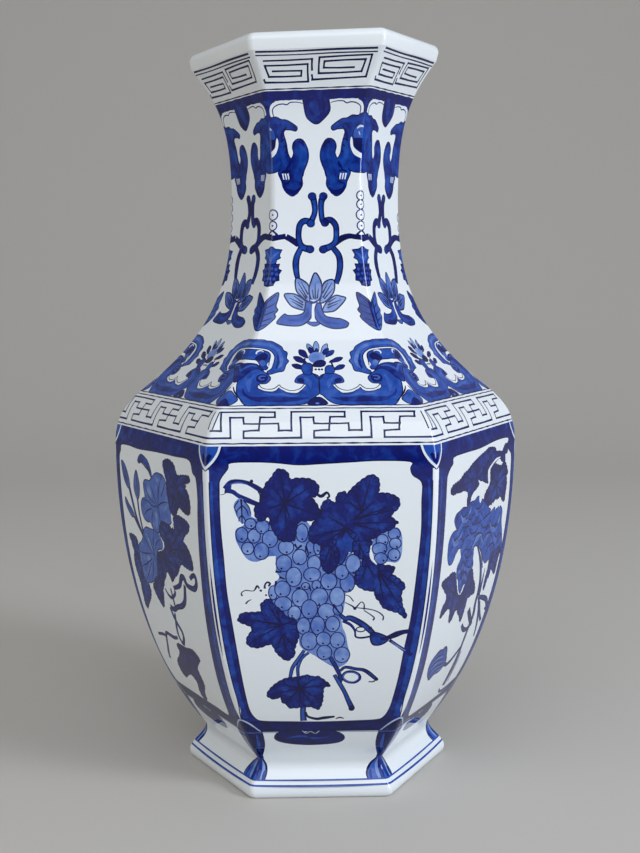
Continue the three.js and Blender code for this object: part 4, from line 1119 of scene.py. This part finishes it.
def mouth_band(art):
    """The cobalt band under the keys, with its tongue and its two white clouds."""
    art.band(168.9, 173.4, 0.88, 0.15)
    art.band(173.9, 174.5, LINE, 0.1)
    for art.side in (-1, 1):
        art.patch([(30, 169), (30, 159.6), (19, 160.4), (19, 169)], 0.84)
        cloud = [(6, 168), (9, 169), (12, 169), (13.6, 168), (15.4, 169), (18.6, 168.6), (21, 167),
            (21.5, 163.6), (20, 161), (14, 160.6), (11, 160), (8.6, 160.6), (6, 163)]
        art.fill(cloud, BARE)
        inner = [(6.4, 167.4), (9, 168), (12, 168), (13.7, 167), (15.5, 167.4), (18, 167), (20, 165.4),
            (20, 163), (19.4, 161)]
        art.line(inner, [0.35, 0.5, 0.6, 0.5, 0.4], 0.85)
    tongue = [(-6.5, 170), (-5, 162), (-0.4, 158), (2, 159), (6, 163.6), (5.7, 170)]
    art.patch(smooth(tongue), 0.86)
    art.line([(-6.4, 169), (-5, 162), (-3, 159.4), (-0.4, 158), (2, 159), (6, 163.6), (5.6, 169)],
        [0.5, 0.5], LINE)
    art.line([(-2.6, 170.6), (-1.2, 166), (0.8, 161.6)], [2.4, 4, 1.8], 0.81)
    art.line([(2.4, 170), (3.4, 166), (3.2, 163)], [0.8, 1.8, 0.8], 0.92)


def mouth_keys(art):
    """The band of squared spirals under the rim."""
    for row, width in ((190, 0.65), (191.7, 1)):
        art.line([(-27.6, row + 0.2), (-10, row - 0.1), (9, row + 0.1), (27.2, row - 0.1)],
            [width, 0.85 * width, 1.1 * width, width])
    keys = [[(-2.2, 182.6), (-2.2, 187.6), (-23.8, 187.5)],
        [(-23.7, 178.6), (-23.2, 177.4), (-3.9, 177.2), (-4.2, 185.3), (-23.4, 185.2), (-21.6, 180),
        (-7.2, 179.9), (-7, 182.3), (-19.8, 182.5)],
        [(-2.3, 180), (-2.1, 178), (22.2, 178.5), (24.7, 188.6), (1.1, 188.2), (0.8, 180.8), (20.1, 181),
        (21.9, 186.5), (3.4, 186.3), (3.1, 183.3), (16.6, 183)]]
    for key in keys:
        art.ruled(key, 0.95)


def neck_painting(faced):
    """The whole painting of a neck slab; faced says whether its dragons show an eye."""
    art = Painting(wall, SEAM)
    key_fret(art)
    for art.side in (-1, 1):
        shoulder_scrolls(art)
    shoulder_flower(art)
    knot(art, not faced)
    lotus(art, not faced)
    mouth_band(art)
    for art.side in (-1, 1):
        art.hung, art.shift = True, -0.2
        corner_sprigs(art, 4 if faced == (art.side > 0) else 2)
        art.hung, art.shift = False, 2.2 if faced and art.side < 0 else 0
        mouth_dragon(art, faced)
    mouth_keys(art)
    return art.strokes


paintings = [neck_painting(faced) for faced in (True, False)]
neck_sheets = [sheet(wall, SEAM, wall.along[-1], strokes, spacing=3) for strokes in paintings]
for k, side in enumerate(SIDES):
    slab = mesh_object(f"neck_{side}", slab_parts(wall, neck_sheets[k % 2], k), [painted, white])
    stands_for(slab, f"neck_slab_{side}")


# The foot: a low splayed ring round the foot of the wall, bevelled at the table, with its bottom
# left bare of glaze. Two lines run round it and a cloud lies over each corner.
def foot_painting():
    """The painting of one side of the foot, by heights turned into distances up its face."""
    def up(height):
        return np.interp(height, foot_side.height, foot_side.along)

    art = Painting(foot_side)
    art.hung = True
    rows = up((18, 16.4, 14.4, 12.2, 10.4, 8.8))
    for art.side, reach in ((-1, (1.6, 2.2, 3.6, 4.6, 5.1, 5.2)), (1, (1.6, 2.8, 5.4, 7.6, 8.9, 9.2))):
        cloud = np.stack([np.negative(reach), rows], 1)
        art.patch([*smooth(cloud), (20, rows[-1]), (20, 25)], 0.6)
        art.line(np.stack([(-1.2, -2.4, -3, -3.4, -3.4), rows[1:]], 1), [0.4, 1.6, 1.8, 1.2], 0.36)
        art.line(np.stack([(-0.4, -0.6, -1, -1.4, -1.6, -1.8), rows], 1), [1.4, 1.8, 2.2, 1.6], 0.8)
        art.line(cloud, [0.6, 0.9, 0.9, 0.6], 0.96)
        art.line(cloud[3:] * [0.8, 1], [0.6, 1.6, 0.8], 0.8)
    art.hung = False
    for height, width in ((8.3, 0.7), (6.1, 0.9)):
        art.band(up(height), up(height) + width, 0.66)
    return art.strokes


def joined(parts):
    """Several sets of parts as one, with the points that they share made one point."""
    places, faces, tones, slots, normals = zip(*parts)
    starts = np.cumsum([0] + [len(p) for p in places])
    places = np.vstack(places)
    _, first, number = np.unique(np.round(places, 3), axis=0, return_index=True, return_inverse=True)
    faces = [number.ravel()[np.add(face, start)].tolist()
             for part, start in zip(faces, starts) for face in part]
    return places[first], faces, sum(tones, []), sum(slots, []), sum(normals, [])


foot_sheet = sheet(foot_side, 0, foot_side.along[-1], foot_painting(), spacing=0.9)
foot_parts = joined([slab_parts(foot_side, foot_sheet, k, mitred=False) for k in range(6)])
stands_for(mesh_object("foot", foot_parts, [painted, clay]), "foot_ring")


# The rim: a rounded roll of porcelain clay laid along the mouth over the ends of the six neck
# slabs, smoothed with a wet finger and glazed white.
RIM_RADIUS, RIM_HALF, RIM_TOP = 57, 4, 351


def hexagon(radius, height, rounding=ROUNDING, steps=5):
    """One hexagonal loop with rounded corners, anticlockwise from above."""
    loop = []
    middle = radius - rounding / COS30
    for corner in (side * SECTOR - math.pi / 3 for side in range(6)):
        for turn in np.linspace(corner - SECTOR / 2, corner + SECTOR / 2, steps + 1):
            loop.append((middle * math.cos(corner) + rounding * math.cos(turn),
                         middle * math.sin(corner) + rounding * math.sin(turn), height))
    return loop


def plain_parts(loops, closed):
    """White skin from each loop to the next, and back to the first or over both ends."""
    n, rows = len(loops[0]), len(loops)
    faces = [[k * n + i, k * n + (i + 1) % n, (k + 1) % rows * n + (i + 1) % n, (k + 1) % rows * n + i]
             for k in range(rows if closed else rows - 1) for i in range(n)]
    if not closed:
        faces += [list(range(n))[::-1], list(range((rows - 1) * n, rows * n))]
    return np.vstack(loops), faces, [0.0] * len(faces), [0] * len(faces), None


turns = np.linspace(0, math.pi, 14)
roll = [(RIM_RADIUS + RIM_HALF * math.cos(a), RIM_TOP + RIM_HALF * math.sin(a)) for a in turns]
rim_section = [MOUTH, *roll, (MOUTH[0] - WALL / COS30, MOUTH[1])]
rim_parts = plain_parts([hexagon(r, z) for r, z in rim_section], closed=True)
rim = mesh_object("rim", rim_parts, [white], sharp=50)
stands_for(rim, "mouth_rim")


# The floor: a flat slab of porcelain clay, cut to the wall's inside at the waist, luted down on
# the foot's ledge and glazed white with the rest of the inside.
floor_radius = WAIST[0] - (WALL + LUTING_GAP) / COS30
levels = (WAIST[1], WAIST[1] + FLOOR_THICKNESS)
floor_parts = plain_parts([hexagon(floor_radius, z, rounding=0.5) for z in levels], closed=False)
stands_for(mesh_object("floor_of_vase", floor_parts, [white], sharp=40), "floor_slab")


# The studio: a pale floor that runs up into a curved backdrop, a soft sky and three lamps.
FLOOR_FRONT, FLOOR_BACK, BEND, BACKDROP_TOP, HALF_SPAN = -6, 0.9, 1.2, 3.2, 6
sweep = [(FLOOR_FRONT, 0), (FLOOR_BACK, 0)]
turns = np.linspace(0.08, math.pi / 2, 20)
sweep += [(FLOOR_BACK + BEND * math.sin(a), BEND * (1 - math.cos(a))) for a in turns]
sweep += [(FLOOR_BACK + BEND, BACKDROP_TOP)]
strips = [(2 * i, 2 * i + 1, 2 * i + 3, 2 * i + 2) for i in range(len(sweep) - 1)]
mesh = bpy.data.meshes.new("studio_floor")
mesh.from_pydata([(x, y, z) for y, z in sweep for x in (-HALF_SPAN, HALF_SPAN)], [], strips)
mesh.polygons.foreach_set("use_smooth", [True] * len(strips))
ground = bpy.data.objects.new("studio_floor", mesh)
bpy.context.scene.collection.objects.link(ground)
mesh.materials.append(new_material("pale_studio_floor", Roughness=0.6, Base_Color=linear("#c4c1bb"))[0])

world = bpy.data.worlds.new("studio_light")
bpy.context.scene.world = world
world.use_nodes = True
tree = world.node_tree
sky = tree.nodes["Background"]
sky.inputs["Color"].default_value = linear("#eef1f5")
way = add_node(tree, "ShaderNodeTexCoord")
parts = add_node(tree, "ShaderNodeSeparateXYZ", links={0: (way, "Generated")})
strength = add_node(tree, "ShaderNodeMapRange", {1: 0.0, 2: 0.55, 3: 0.15, 4: 0.46}, {0: (parts, "Z")})
tree.links.new(strength.outputs[0], sky.inputs["Strength"])

MIDDLE = Vector((0, 0, 0.2))


def area_light(name, place, size, power, tint):
    """A lamp as a lit rectangle that faces the middle of the vase."""
    data = bpy.data.lights.new(name, "AREA")
    data.shape = "RECTANGLE"
    data.size, data.size_y = size
    data.energy = power
    data.color = linear(tint)[:3]
    lamp = bpy.data.objects.new(name, data)
    lamp.location = place
    lamp.rotation_euler = (MIDDLE - Vector(place)).to_track_quat("-Z", "Y").to_euler()
    bpy.context.scene.collection.objects.link(lamp)


area_light("window_right", (1.35, -0.95, 0.75), (0.45, 1.1), 21, "#f1f6ff")
area_light("front_above", (-0.2, -1.9, 2.2), (2.6, 1.6), 22, "#f4f8ff")
area_light("fill_left", (-1.4, -0.7, 0.5), (1, 1), 4, "#fff1de")

# The camera is the one the photograph was taken with, worked out from the vase's corners.
EYE = Vector((-0.0157, -0.6229, 0.2475))
YAW, PITCH, ROLL = -0.0285, 0.1226, -0.0040
ahead = Vector((-math.sin(YAW) * math.cos(PITCH), math.cos(YAW) * math.cos(PITCH), -math.sin(PITCH)))
level = Vector((math.cos(YAW), math.sin(YAW), 0))
above = level.cross(ahead)
right = math.cos(ROLL) * level + math.sin(ROLL) * above
upward = -math.sin(ROLL) * level + math.cos(ROLL) * above
lens = bpy.data.cameras.new("camera")
lens.sensor_width = 36
lens.lens = 52.65
camera = bpy.data.objects.new("camera", lens)
camera.matrix_world = Matrix.Translation(EYE) @ Matrix((right, upward, -ahead)).transposed().to_4x4()
bpy.context.scene.collection.objects.link(camera)
bpy.context.scene.camera = camera
bpy.context.scene.view_settings.view_transform = "Standard"
